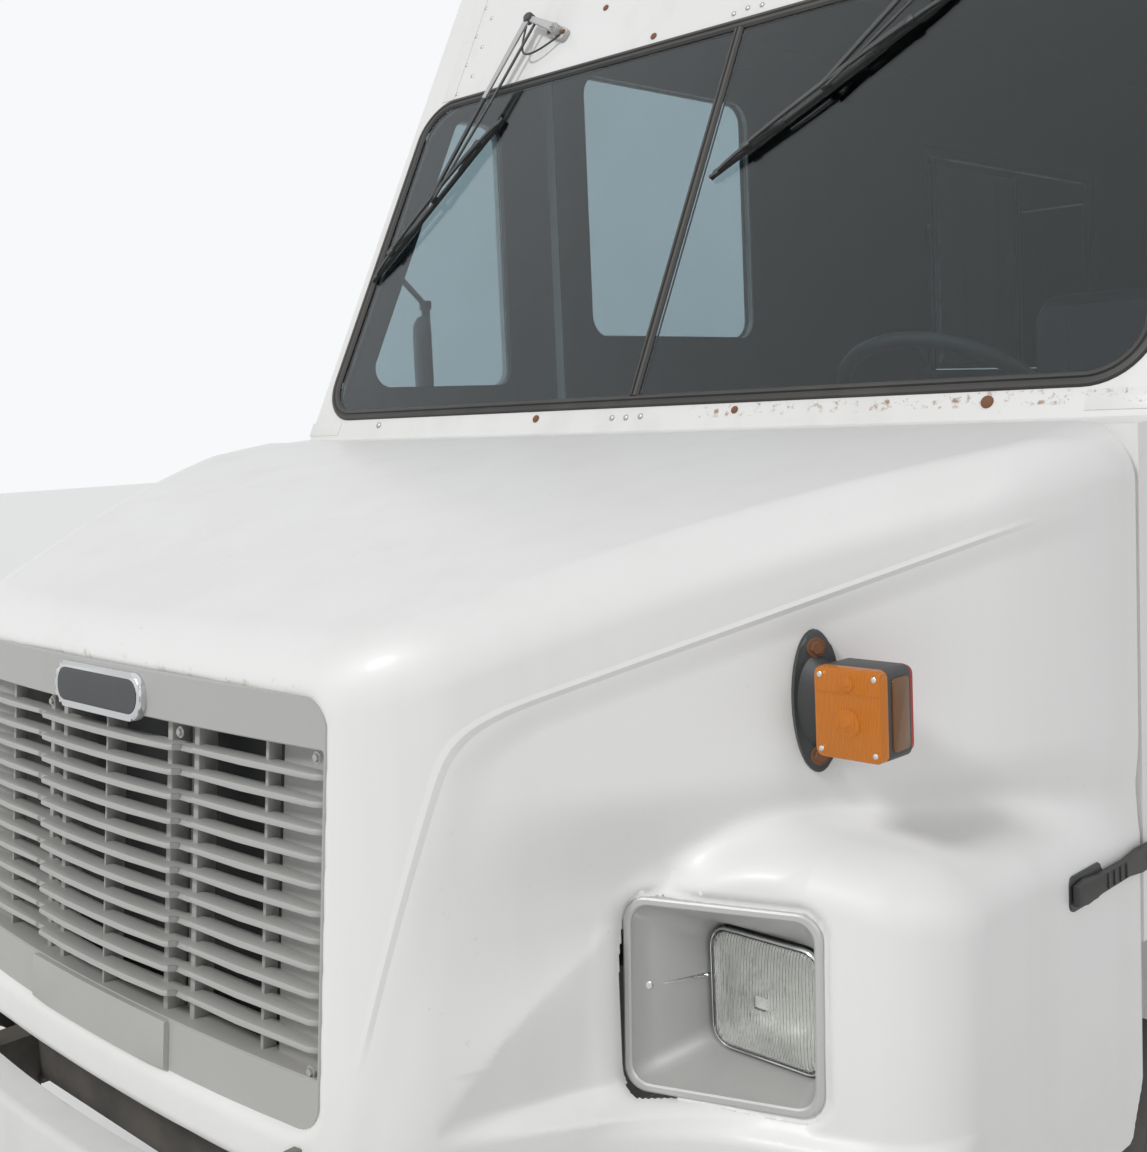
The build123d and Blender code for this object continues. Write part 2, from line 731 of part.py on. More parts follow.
def fender_form(side, inset, reach):
    """One fender's form: its outline from the front, run forwards to the turned front face."""
    low = hood_side_bottom - reach
    points = [(side * x, z) for x, z, radius in FENDER]
    radii = [radius for x, z, radius in FENDER[1:-1]]
    with BuildPart() as form:
        with BuildSketch(Plane.XZ.offset(-hood_rear_y - reach)):
            with BuildLine():
                FilletPolyline(*points, radius=radii)
                Line(points[-1], points[0])
            make_face()
            if inset:
                offset(amount=-inset, kind=Kind.INTERSECTION)
        extrude(amount=900)
        face = lamp_plane(side, inset)
        split(bisect_by=face, keep=Keep.BOTTOM)
        with Locations((0, 0, low)):
            Box(4000, 9000, 600, align=(Align.CENTER, Align.CENTER, Align.MAX), mode=Mode.SUBTRACT)
        rim = form.edges().filter_by(
            lambda e: abs(face.to_local_coords(e.center()).Z) < 1 and e.center().Z > low + 10
        )
        fillet(rim, radius=fender_radius - inset)
    return form.part


outer_form = hood_form(0.0, 0.0)
inner_form = hood_form(hood_skin, 30.0)

# Hood shell: the nose, cheeks and fenders in one moulding, open below and behind
with BuildPart() as hood_shell:
    add(outer_form)
    for side_name, side in SIDES:
        add(fender_form(side, 0.0, 0.0))
    add(inner_form, mode=Mode.SUBTRACT)
    for side_name, side in SIDES:
        add(fender_form(side, hood_skin, 30.0), mode=Mode.SUBTRACT)
    with Locations((0, hood_rear_y - 500, nose_bottom)):
        Box(2 * 600, 2000, 400, align=(Align.CENTER, Align.MAX, Align.MAX), mode=Mode.SUBTRACT)
    with Locations(Location((0, front_axle_y, tyre_r), (0, 90, 0))):
        Cylinder(arch_r, 3 * hood_half, mode=Mode.SUBTRACT)
    with BuildSketch(nose.offset(-60)):
        RectangleRounded(2 * grille_half, face_high, grille_radius)
    extrude(amount=160, mode=Mode.SUBTRACT)
    for side_name, side in SIDES:
        with BuildSketch(lamp_plane(side, -bezel_proud)):
            RectangleRounded(bezel_wide, bezel_high, bezel_radius)
        extrude(amount=60, dir=(0, 1, 0), both=True, mode=Mode.SUBTRACT)
    # hinge arms inside the nose
    for side_name, side in SIDES:
        with BuildSketch(Plane.YZ.offset(side * hinge_arm_x - hinge_arm_wide / 2)):
            with BuildLine():
                Polyline(
                    (hood_hinge_y - hinge_eye_r, hood_hinge_z),
                    (hood_hinge_y + hinge_eye_r, hood_hinge_z),
                    (hood_hinge_y + 60, grille_low - 10),
                    (hood_hinge_y - 4, grille_low - 10),
                    close=True,
                )
            make_face()
            with Locations((hood_hinge_y, hood_hinge_z)):
                Circle(hinge_eye_r)
        extrude(amount=hinge_arm_wide)
        with Locations(Location((side * hinge_arm_x, hood_hinge_y, hood_hinge_z), (0, 90, 0))):
            Cylinder(hinge_pin_r + pin_gap, 2 * hinge_arm_wide, mode=Mode.SUBTRACT)
finish(hood_shell.part, "hood_shell")


def grille_plan(front, back, end):
    """Plan outline of a grille bar: stepped forward over the centre section."""
    step = grille_centre_half
    right = (
        (step, front - grille_step), (step, front - grille_sweep), (end, front), (end, back),
        (step, back - grille_sweep),
    )
    return list(right) + [(-x, y) for x, y in reversed(right)]


# Grille: two plain bands, with stepped slats on upright ribs between them
bar_high = face_high - 2 * grille_gap
slat_pitch = (bar_high - 2 * grille_band) / (grille_slats + 1)
with BuildPart() as grille:
    bars = [(-bar_high / 2, grille_band), (bar_high / 2 - grille_band, grille_band)]
    bars += [
        (-bar_high / 2 + grille_band + slat_pitch * (row + 1) - slat_thick / 2, slat_thick)
        for row in range(grille_slats)
    ]
    for low, high in bars:
        level = Plane(
            origin=nose.from_local_coords((0, low, 0)), x_dir=(1, 0, 0), z_dir=nose.y_dir,
        )
        with BuildSketch(level):
            with BuildLine():
                Polyline(*grille_plan(0.0, slat_deep, grille_half - grille_gap), close=True)
            make_face()
        extrude(amount=high)
    for x in rib_x:
        for side in (-1, 1):
            rib_out = grille_step / 2 if x < grille_centre_half else 0
            with Locations(nose * Location((side * x, 0, rib_out - slat_deep / 2 - 4))):
                Box(rib_thick, bar_high - 10, rib_deep)
    for side in (-1, 1):
        with Locations(nose * Location((side * (grille_half - grille_gap - 10), 0, -slat_deep / 2))):
            Box(20, bar_high - 2 * grille_radius, slat_deep)
    # the corners follow the opening
    with BuildSketch(nose.offset(-slat_deep - 30)):
        RectangleRounded(2 * (grille_half - grille_gap), bar_high, grille_radius - grille_gap)
    extrude(amount=slat_deep + 100, mode=Mode.INTERSECT)
finish(grille.part, "grille")

# Headlamp bezels: a deep scoop that runs straight back, with a block that carries the lens
lens_planes = {
    side: Plane(origin=(side * lens_x, lens_y + lens_thick, lens_z), x_dir=(1, 0, 0), z_dir=(0, -1, 0))
    for side_name, side in SIDES
}
with BuildPart() as headlamp_bezels:
    for side_name, side in SIDES:
        face = lamp_plane(side, -bezel_proud)
        with BuildSketch(face):
            RectangleRounded(bezel_wide, bezel_high, bezel_radius)
        extrude(amount=bezel_deep, dir=(0, 1, 0))
        with BuildSketch(face):
            RectangleRounded(
                bezel_wide - 2 * bezel_rim, bezel_high - 2 * bezel_rim, bezel_radius - bezel_rim / 2,
            )
        extrude(amount=bezel_deep - bezel_rim, dir=(0, 1, 0), mode=Mode.SUBTRACT)
        with BuildSketch(lens_planes[side]):
            RectangleRounded(lens_wide - 24, lens_high - 24, lens_radius)
        extrude(amount=-lens_block)
finish(headlamp_bezels.part, "headlamp_bezels")

with BuildPart() as headlamp_lenses:
    for side_name, side in SIDES:
        with BuildSketch(lens_planes[side]):
            RectangleRounded(lens_wide, lens_high, lens_radius)
        extrude(amount=lens_thick)
finish(headlamp_lenses.part, "headlamp_lenses")

# Turn signals on the cheeks: an oval pedestal, a stalk and a box with an amber lens
signal_mid = cheek_plane(1, signal_x, signal_z).from_local_coords((signal_back, 0, signal_stalk))
with BuildPart() as turn_signals:
    for side_name, side in SIDES:
        plate = cheek_plane(side, signal_x, signal_z)
        with BuildSketch(plate.offset(-1)):
            Ellipse(signal_plate[0] / 2, signal_plate[1] / 2)
        extrude(amount=signal_plate[2] + 1)
        with BuildSketch(plate):
            with Locations((0.4 * signal_back, 0)):
                RectangleRounded(30, 84, 10)
        extrude(amount=signal_stalk)
        with Locations((side * signal_mid.X, signal_mid.Y, signal_mid.Z)):
            Box(*signal_box)
    add(outer_form, mode=Mode.SUBTRACT)
finish(turn_signals.part, "turn_signals")

with BuildPart() as signal_lenses:
    for side_name, side in SIDES:
        lens_y = signal_mid.Y - signal_box[1] / 2 - signal_lens / 2
        with Locations((side * signal_mid.X, lens_y, signal_mid.Z)):
            Box(signal_box[0], signal_lens, signal_box[2])
finish(signal_lenses.part, "signal_lenses")

# Rubber hood latches: a base on the hood and a strap that reaches over the joint
with BuildPart() as hood_latches:
    for side_name, side in SIDES:
        with Locations((side * (hood_half + latch_off / 2), latch_front_y + 45, latch_z)):
            Box(latch_off, 90, 44)
        with Locations((side * (hood_half + latch_off + 6), latch_front_y + latch_long / 2, latch_z)):
            Box(12, latch_long, 30)
finish(hood_latches.part, "hood_latches")

# Bumpers
with BuildPart() as front_bumper:
    with BuildSketch(Plane.XY.offset(bumper_top - bumper_high)):
        with BuildLine():
            ends_y = nose_y + bumper_sweep
            ThreePointArc((-bumper_half, ends_y), (0, nose_y), (bumper_half, ends_y))
            Line((bumper_half, ends_y), (bumper_half, ends_y + bumper_thick))
            ThreePointArc(
                (bumper_half, ends_y + bumper_thick),
                (0, nose_y + bumper_thick),
                (-bumper_half, ends_y + bumper_thick),
            )
            Line((-bumper_half, ends_y + bumper_thick), (-bumper_half, ends_y))
        make_face()
    extrude(amount=bumper_high)
finish(front_bumper.part, "front_bumper")

with BuildPart() as rear_bumper:
    with Locations((0, tail_y - step_deep / 2, step_bumper_z)):
        Box(2 * step_half, step_deep, step_high)
    for side in (-1, 1):
        with Locations((side * (rail_x - 40), rail_rear_y, step_bumper_z + 20)):
            Box(60, 80, 100, align=(Align.CENTER, Align.MIN, Align.CENTER))
    # screw holes for a plate
    for side in (-1, 1):
        with Locations(Location((side * plate_spacing / 2, tail_y, step_bumper_z), (90, 0, 0))):
            Cylinder(plate_hole_r, 2 * plate_hole_deep, mode=Mode.SUBTRACT)
finish(rear_bumper.part, "rear_bumper")

# Chassis frame: channel rails with the bumper's brackets and the hood's hinge lugs
with BuildPart() as chassis_frame:
    for side in (-1, 1):
        with BuildSketch(Plane.XZ.offset(-rail_rear_y)):
            with Locations((side * (rail_x - rail_wide / 2), rail_top - rail_high / 2)):
                Rectangle(rail_wide, rail_high)
            with Locations((side * (rail_x - rail_wide / 2 - rail_thick), rail_top - rail_high / 2)):
                Rectangle(rail_wide, rail_high - 2 * rail_thick, mode=Mode.SUBTRACT)
        extrude(amount=rail_rear_y - rail_front_y)
        with Locations((side * (rail_x - bumper_bracket[0] / 2), rail_front_y + 5, bumper_top - 110)):
            Box(*bumper_bracket, align=(Align.CENTER, Align.MAX, Align.CENTER))
        for lug in (-1, 1):
            lug_mid = side * hinge_arm_x + lug * (hinge_arm_wide / 2 + lug_gap + lug_thick / 2)
            with BuildSketch(Plane.YZ.offset(lug_mid - lug_thick / 2)):
                with BuildLine():
                    Polyline(
                        (hood_hinge_y - hinge_eye_r, hood_hinge_z),
                        (rail_front_y + 50, hood_hinge_z),
                        (rail_front_y + 50, rail_low + 60),
                        (rail_front_y, rail_low + 60),
                        (hood_hinge_y, hood_hinge_z - hinge_eye_r),
                        close=True,
                    )
                make_face()
                with Locations((hood_hinge_y, hood_hinge_z)):
                    Circle(hinge_eye_r)
            extrude(amount=lug_thick)
        with Locations(Location((side * hinge_arm_x, hood_hinge_y, hood_hinge_z), (0, 90, 0))):
            Cylinder(hinge_pin_r, hinge_arm_wide + 2 * (lug_gap + lug_thick))
        lug_end = hinge_arm_x + hinge_arm_wide / 2 + lug_gap + lug_thick
        with Locations((side * (rail_x + lug_end - 4) / 2, rail_front_y + 25, rail_low + 80)):
            Box(lug_end - rail_x + 4, 50, 40)
    add(front_bumper.part, mode=Mode.SUBTRACT)
finish(chassis_frame.part, "chassis_frame")

with BuildPart() as cross_members:
    for y in cross_y:
        with Locations((0, y, rail_low + rail_thick)):
            Box(
                2 * (rail_x - rail_thick), cross_long, cross_high,
                align=(Align.CENTER, Align.CENTER, Align.MIN),
            )
finish(cross_members.part, "cross_members")

# Floor sills across the rails; the front one stops at each side of the engine
with BuildPart() as floor_sills:
    for y in sill_y:
        sill_half = floor_half if door_front_y < y < door_rear_y + door_travel else inner_half
        with Locations((0, y, rail_top)):
            Box(
                2 * sill_half, sill_wide, floor_top - floor_thick - rail_top,
                align=(Align.CENTER, Align.CENTER, Align.MIN),
            )
    with Locations((0, sill_y[0], rail_top)):
        Box(
            2 * (rail_x - rail_wide), 2 * sill_wide, 200,
            align=(Align.CENTER, Align.CENTER, Align.MIN), mode=Mode.SUBTRACT,
        )
finish(floor_sills.part, "floor_sills")

# Engine with its gearbox, and the radiator
with BuildPart() as engine_block:
    with Locations((0, (engine_front_y + engine_rear_y) / 2, engine_low)):
        Box(
            2 * engine_half, engine_rear_y - engine_front_y, engine_top - engine_low,
            align=(Align.CENTER, Align.CENTER, Align.MIN),
        )
    with Locations((0, (engine_rear_y + gearbox[1]) / 2 - 10, (gearbox[2] + gearbox[3]) / 2)):
        Box(2 * gearbox[0], gearbox[1] - engine_rear_y + 20, gearbox[3] - gearbox[2])
finish(engine_block.part, "engine_block")

with BuildPart() as radiator_core:
    with Locations((0, radiator_y, rail_low + rail_thick + cross_high)):
        Box(2 * radiator[0], radiator[1], radiator[2], align=(Align.CENTER, Align.CENTER, Align.MIN))
finish(radiator_core.part, "radiator")

# Axles and springs
with BuildPart() as front_axle:
    with Locations((0, front_axle_y, (front_beam[0] + front_beam[1]) / 2)):
        Box(2 * (kingpin_x - 130), front_beam[2], front_beam[1] - front_beam[0])
    for side in (-1, 1):
        with Locations((side * (kingpin_x - 95), front_axle_y, tyre_r)):
            Box(130, 60, 78)
        with Locations((side * kingpin_x, front_axle_y, tyre_r)):
            Cylinder(38, 78)
            Cylinder(kingpin_r, 210)
finish(front_axle.part, "front_axle")

for side_name, side in SIDES:
    with BuildPart() as knuckle:
        for end in (-1, 1):
            with Locations((side * kingpin_x, front_axle_y, tyre_r + end * 66)):
                Cylinder(38, 40)
            with Locations((side * (kingpin_x + 26), front_axle_y, tyre_r + end * 66)):
                Box(52, 60, 40)
        with Locations((side * (kingpin_x + 58), front_axle_y, tyre_r)):
            Box(24, 76, 172)
        with Locations(Location((side * (kingpin_x + 60), front_axle_y, tyre_r), (0, 90, 0))):
            Cylinder(spindle_r, 155, align=(Align.CENTER, Align.CENTER, Align.MIN if side > 0 else Align.MAX))
        with Locations((side * kingpin_x, front_axle_y, tyre_r)):
            Cylinder(kingpin_r + kingpin_gap, 240, mode=Mode.SUBTRACT)
    finish(knuckle.part, f"knuckle_{side_name}")

with BuildPart() as leaf_springs:
    for y, seat_z in ((front_axle_y, front_beam[1]), (rear_axle_y, tyre_r + rear_tube_r)):
        for side in (-1, 1):
            with BuildSketch(Plane.YZ.offset(side * spring_x - spring_wide / 2)):
                with BuildLine():
                    rise = 60.0
                    low = ThreePointArc(
                        (y - spring_half, seat_z + rise), (y, seat_z), (y + spring_half, seat_z + rise),
                    )
                    high = ThreePointArc(
                        (y - spring_half, seat_z + rise + 20), (y, seat_z + spring_thick), (y + spring_half, seat_z + rise + 20),
                    )
                    Line(low @ 0, high @ 0)
                    Line(low @ 1, high @ 1)
                make_face()
            extrude(amount=spring_wide)
            for end in (-1, 1):
                with Locations((side * spring_x, y + end * (spring_half - 20), seat_z + rise)):
                    Box(30, 40, rail_low - seat_z - rise, align=(Align.CENTER, Align.CENTER, Align.MIN))
finish(leaf_springs.part, "leaf_springs")

with BuildPart() as rear_axle:
    with Locations(Location((0, rear_axle_y, tyre_r), (0, 90, 0))):
        Cylinder(rear_tube_r, 2 * 480)
        Cylinder(banjo_r, 190)
        Cylinder(spindle_r, 2 * 1010)
    with BuildSketch(Plane.XZ.offset(-rear_axle_y)):
        with Locations((0, shaft_z - 60)):
            Circle(shaft_r)
    extrude(amount=rear_axle_y - gearbox[1])
finish(rear_axle.part, "rear_axle")


def tyre_points(x_mid):
    """Half section of a tyre, as X and radius."""
    half = tyre_wide / 2
    bead = rim_wide / 2 - rim_lip
    right = (
        (bead, tyre_bore_r), (bead, rim_lip_r + 2), (half, tyre_bore_r + 68),
        (half - 5, tyre_r - tyre_shoulder), (half - 24, tyre_r - 6), (half - 44, tyre_r),
    )
    return [(x_mid + x, r) for x, r in right] + [(x_mid - x, r) for x, r in reversed(right)]


def rim_boxes(x_mid, disc_x, hub):
    """Half section of a rim with its disc and hub, as boxes: low X, high X, low radius, high radius."""
    half = rim_wide / 2
    return (
        (x_mid - half, x_mid + half, tyre_bore_r - rim_thick, tyre_bore_r),
        (x_mid - half, x_mid - half + rim_lip, tyre_bore_r - rim_thick, rim_lip_r),
        (x_mid + half - rim_lip, x_mid + half, tyre_bore_r - rim_thick, rim_lip_r),
        (disc_x - disc_thick / 2, disc_x + disc_thick / 2, hub_r - 10, tyre_bore_r - rim_thick / 2),
        (hub[0], hub[1], spindle_r + spindle_gap, hub_r),
    )


# Tyres and wheels: one in front and a pair behind on each side, each pair with one hub
for side_name, side in SIDES:
    for end_name, y, wheels, hub in (
        ("front", front_axle_y, ((wheel_centre_x, front_disc_x),), front_hub),
        ("rear", rear_axle_y, ((twin_inner_x, inner_disc_x), (twin_outer_x, outer_disc_x)), rear_hub),
    ):
        axle = Plane(origin=(0, y, tyre_r), x_dir=(side, 0, 0), z_dir=(0, -side, 0))
        spin = Axis((0, y, tyre_r), (1, 0, 0))
        with BuildPart() as tyre:
            for x_mid, disc_x in wheels:
                with BuildSketch(axle):
                    with BuildLine():
                        Polyline(*tyre_points(x_mid), close=True)
                    make_face()
                revolve(axis=spin, revolution_arc=360)
        finish(tyre.part, f"tyre_{end_name}_{side_name}")
        with BuildPart() as wheel:
            for x_mid, disc_x in wheels:
                with BuildSketch(axle):
                    for x0, x1, r0, r1 in rim_boxes(x_mid, disc_x, hub):
                        with Locations(((x0 + x1) / 2, (r0 + r1) / 2)):
                            Rectangle(x1 - x0, r1 - r0)
                revolve(axis=spin, revolution_arc=360)
        finish(wheel.part, f"wheel_{end_name}_{side_name}")

# Dashboard with the engine cover
with BuildPart() as dashboard:
    cover_y = floor_front_y + tunnel_long
    with Locations((0, (floor_front_y + cover_y + cover_thick) / 2, floor_top)):
        Box(
            2 * (tunnel_half + cover_thick), cover_y + cover_thick - floor_front_y, tunnel_top - floor_top + cover_thick,
            align=(Align.CENTER, Align.CENTER, Align.MIN),
        )
    with Locations((0, (floor_front_y - 1 + cover_y) / 2, floor_top - 1)):
        Box(
            2 * tunnel_half, cover_y - floor_front_y + 1, tunnel_top - floor_top + 1,
            align=(Align.CENTER, Align.CENTER, Align.MIN),
            mode=Mode.SUBTRACT,
        )
    with Locations((0, floor_front_y + 150, tunnel_top)):
        Box(1960, 300, 150, align=(Align.CENTER, Align.CENTER, Align.MIN))
finish(dashboard.part, "dashboard")

# Steering wheel on its column, and the driver's seat
wheel_mid = (430.0, -1800.0, 1590.0)
with BuildPart() as steering_wheel:
    tilt = Plane(origin=wheel_mid, x_dir=(1, 0, 0), z_dir=(0, 0.62, 0.78))
    with BuildSketch(Plane(origin=wheel_mid, x_dir=tilt.x_dir, z_dir=tilt.y_dir)):
        with Locations((215, 0)):
            Circle(15)
    revolve(axis=Axis(wheel_mid, tilt.z_dir), revolution_arc=360)
    for turn in (30, 150, 270):
        with Locations(tilt * Location((0, 0, 0), (0, 0, turn)) * Location((105, 0, 0))):
            Box(210, 26, 10)
    with Locations(tilt * Location((0, 0, -20))):
        Cylinder(42, 50)
    with Locations(tilt * Location((0, 0, -133.5))):
        Cylinder(26, 227)
    add(dashboard.part, mode=Mode.SUBTRACT)
finish(steering_wheel.part, "steering_wheel")

with BuildPart() as driver_seat:
    with Locations((430, -1180, floor_top)):
        Box(300, 400, 260, align=(Align.CENTER, Align.CENTER, Align.MIN))
    with Locations((430, -1170, floor_top + 260)):
        Box(500, 500, 130, align=(Align.CENTER, Align.CENTER, Align.MIN))
    with Locations((430, -960, floor_top + 330)):
        Box(480, 120, 620, align=(Align.CENTER, Align.CENTER, Align.MIN))
finish(driver_seat.part, "driver_seat")

# Freezer cabinet and the sales counter in the load space
with BuildPart() as freezer_cabinet:
    with Locations((560, 1300, floor_top)):
        Box(700, 1500, 880, align=(Align.CENTER, Align.CENTER, Align.MIN))
finish(freezer_cabinet.part, "freezer_cabinet")

with BuildPart() as sales_counter:
    with Locations((-760, hatch_mid[0], floor_top)):
        Box(360, hatch_rear_y - hatch_front_y, hatch_low - 40 - floor_top, align=(Align.CENTER, Align.CENTER, Align.MIN))
finish(sales_counter.part, "sales_counter")

# Fuel tank and exhaust under the floor
with BuildPart() as fuel_tank:
    with Locations((660, 450, 590)):
        Box(420, 900, 300)
    fillet(fuel_tank.edges().filter_by(Axis.Y), radius=50)
    for y in (150, 750):
        with Locations((rail_x + 15, y, 620)):
            Box(30, 50, 160)
finish(fuel_tank.part, "fuel_tank")

with BuildPart() as exhaust:
    with Locations(Location((-620, 500, 560), (90, 0, 0))):
        Cylinder(100, 800)
    with Locations(Location((-620, 650, 560), (90, 0, 0))):
        Cylinder(32, 1500)
    for y in (200, 800):
        with Locations((-rail_x, y, 600)):
            Box(120, 40, 60, align=(Align.MAX, Align.CENTER, Align.CENTER))
finish(exhaust.part, "exhaust")

# Mirrors: a pad low and a pad high on each windshield pillar, two arms and an oval head
with BuildPart() as mirrors:
    for side in (-1, 1):
        for pad, end_z in MIRROR_PADS:
            foot = Vector(side * (body_half + 9), *pad)
            tip = Vector(side * mirror_head[0], mirror_head[1], end_z)
            with Locations((side * (body_half + 7), *pad)):
                Box(14, 60, 60)
            with BuildSketch(Plane(origin=foot, z_dir=tip - foot)):
                Circle(mirror_arm_r)
            extrude(amount=(tip - foot).length)
        with Locations((side * mirror_head[0], mirror_head[1], mirror_head[2])):
            Cylinder(mirror_tube_r, MIRROR_PADS[1][1] - MIRROR_PADS[0][1] + 4 * mirror_arm_r)
        turn = math.radians(mirror_turn)
        face = Plane(
            origin=(side * mirror_head[0], mirror_head[1] + 5, mirror_head[2]),
            x_dir=(math.cos(turn), side * math.sin(turn), 0),
            z_dir=(side * math.sin(turn), -math.cos(turn), 0),
        )
        with BuildSketch(face):
            SlotOverall(mirror_size[1], mirror_size[0], rotation=90)
        extrude(amount=mirror_size[2])
finish(mirrors.part, "mirrors")

# Wipers hung from pivots over the windshield: pivot, arm and blade on the glass
WIPERS = (
    # pivot x, pivot height up the plane, blade's upper and lower ends as x and height
    (-565.0, 985.0, -684.0, 780.0, -989.0, 376.0),
    (640.0, 985.0, 521.0, 805.0, 44.0, 496.0),
)
with BuildPart() as wipers:
    for pivot_x, pivot_up, x0, up0, x1, up1 in WIPERS:
        with Locations(screen * Location((pivot_x, pivot_up, 22))):
            Cylinder(22, 44)
        for (xa, ya), (xb, yb), lift, wide in (
            ((pivot_x, pivot_up), ((x0 + x1) / 2, (up0 + up1) / 2), 36, 14),
            ((x0, up0), (x1, up1), 24, 12),
        ):
            turn = math.degrees(math.atan2(yb - ya, xb - xa))
            with Locations(screen * Location(((xa + xb) / 2, (ya + yb) / 2, lift), (0, 0, turn))):
                Box(math.hypot(xb - xa, yb - ya) + 10, wide, 18)
finish(wipers.part, "wipers")

# Marker lamps on the header and tail lamps on the rear frame
with BuildPart() as body_lamps:
    for x in (-900, -220, 0, 220, 900):
        with Locations(screen * Location((x, slant * (roof_joint_z - cowl_z - 60) / rake_rise, 12))):
            Box(110, 40, 24)
    for side in (-1, 1):
        for z in (760, 1000):
            with Locations((side * 930, rear_face_y + 12, z)):
                Box(120, 24, 120)
        with Locations((side * 930, rear_face_y + 12, 2900)):
            Box(110, 24, 40)
finish(body_lamps.part, "body_lamps")

# Chime loudspeaker on the roof
with BuildPart() as loudspeaker:
    with Locations((0, -1150, roof_top)):
        Box(120, 160, 60, align=(Align.CENTER, Align.CENTER, Align.MIN))
    with Locations(Location((0, -1230, roof_top + 110), (90, 0, 0))):
        Cone(45, 110, 200)
finish(loudspeaker.part, "loudspeaker")
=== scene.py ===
import json
import math

import bmesh
import bpy
import numpy as np
from mathutils import Matrix, Vector


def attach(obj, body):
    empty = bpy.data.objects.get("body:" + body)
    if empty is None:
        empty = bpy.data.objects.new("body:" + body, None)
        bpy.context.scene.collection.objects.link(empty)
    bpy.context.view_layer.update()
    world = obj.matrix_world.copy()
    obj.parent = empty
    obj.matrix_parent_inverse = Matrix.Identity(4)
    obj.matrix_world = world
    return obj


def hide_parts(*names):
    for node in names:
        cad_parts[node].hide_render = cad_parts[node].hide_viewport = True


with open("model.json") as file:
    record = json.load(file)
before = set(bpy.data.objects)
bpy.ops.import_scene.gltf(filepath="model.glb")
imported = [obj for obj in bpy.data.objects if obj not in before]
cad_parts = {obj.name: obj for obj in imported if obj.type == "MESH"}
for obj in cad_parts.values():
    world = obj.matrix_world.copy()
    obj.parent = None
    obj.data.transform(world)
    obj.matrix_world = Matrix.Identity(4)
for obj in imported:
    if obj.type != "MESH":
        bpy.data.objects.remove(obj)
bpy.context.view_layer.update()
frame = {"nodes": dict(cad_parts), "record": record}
nodes = frame["nodes"]
sides = (("left", 1), ("right", -1))
scene = bpy.context.scene
print("frame loaded:", len(nodes), "CAD nodes")

# Stage, camera and lights

photoView = {
    "place": (1.8797, -4.2979, 1.6145), "yaw": 44.99, "pitch": 4.446, "roll": -2.468,   # degrees
    "focal": 1440.0, "tall": 1152.0, "axisRow": 525.96,   # pixels of the photo
    "sensor": 36.0, "far": 200.0,
}
stageSet = {
    "floor": (0.92, 0.92, 0.91), "sky": (0.93, 0.945, 0.96), "fill": 0.44,
    "key": {"direction": (0.10, 0.70, -0.70), "strength": 1.45, "angle": 12.0},
    "side": {"direction": (-0.80, 0.15, -0.55), "strength": 0.40, "angle": 30.0},
}


def placeCamera(view):
    yaw, pitch, roll = (math.radians(view[k]) for k in ("yaw", "pitch", "roll"))
    ahead = Vector((-math.sin(yaw) * math.cos(pitch), math.cos(yaw) * math.cos(pitch), -math.sin(pitch)))
    across = ahead.cross(Vector((0, 0, 1))).normalized()
    upward = across.cross(ahead)
    right = across * math.cos(roll) + upward * math.sin(roll)
    top = upward * math.cos(roll) - across * math.sin(roll)
    data = bpy.data.cameras.new("photoCamera")
    data.sensor_width = view["sensor"]
    data.lens = view["focal"] * view["sensor"] / view["tall"]
    data.shift_y = (view["axisRow"] - view["tall"] / 2) / view["tall"]
    data.clip_end = view["far"]
    camera = bpy.data.objects.new("photoCamera", data)
    turn = Matrix((right, top, -ahead)).transposed()
    camera.matrix_world = Matrix.Translation(view["place"]) @ turn.to_4x4()
    scene.collection.objects.link(camera)
    scene.camera = camera


# A node with its settings, and its inputs either linked or set
def addNode(tree, kind, inputs=None, **settings):
    made = tree.nodes.new(kind)
    for key, value in settings.items():
        setattr(made, key, value)
    for key, value in (inputs or {}).items():
        socket = made.inputs[key]
        if isinstance(value, bpy.types.NodeSocket):
            tree.links.new(value, socket)
        else:
            socket.default_value = value
    return made


# One sum of the shader; the third input is for MULTIPLY_ADD and SMOOTH_MAX
def calc(tree, operation, a, b=0.0, c=None, clamp=False):
    inputs = {0: a, 1: b} if c is None else {0: a, 1: b, 2: c}
    return addNode(tree, "ShaderNodeMath", inputs, operation=operation, use_clamp=clamp).outputs[0]


def setWorld(sky, fill):
    world = bpy.data.worlds.new("studioWorld")
    scene.world = world
    world.use_nodes = True
    tree = world.node_tree
    tree.nodes.clear()
    path = addNode(tree, "ShaderNodeLightPath")
    # seen directly, mirrored or through glass, the sky is at full strength; as a light it is a soft fill
    seen = calc(tree, "MAXIMUM", path.outputs["Is Camera Ray"], path.outputs["Is Glossy Ray"])
    seen = calc(tree, "MAXIMUM", seen, path.outputs["Is Transmission Ray"])
    strength = addNode(tree, "ShaderNodeMix", {0: seen, 2: fill, 3: 1.0})
    back = addNode(tree, "ShaderNodeBackground", {"Color": (*sky, 1), "Strength": strength.outputs[0]})
    out = addNode(tree, "ShaderNodeOutputWorld")
    tree.links.new(back.outputs[0], out.inputs[0])


def placeSun(name, direction, strength, angle):
    data = bpy.data.lights.new(name, "SUN")
    data.energy = strength
    data.angle = math.radians(angle)
    lamp = bpy.data.objects.new(name, data)
    lamp.rotation_euler = Vector(direction).to_track_quat("-Z", "Y").to_euler()
    scene.collection.objects.link(lamp)


placeCamera(photoView)
setWorld(stageSet["sky"], stageSet["fill"])
placeSun("keySun", **stageSet["key"])
placeSun("sideSun", **stageSet["side"])
scene.view_settings.view_transform = "Standard"
print("camera and lights placed")

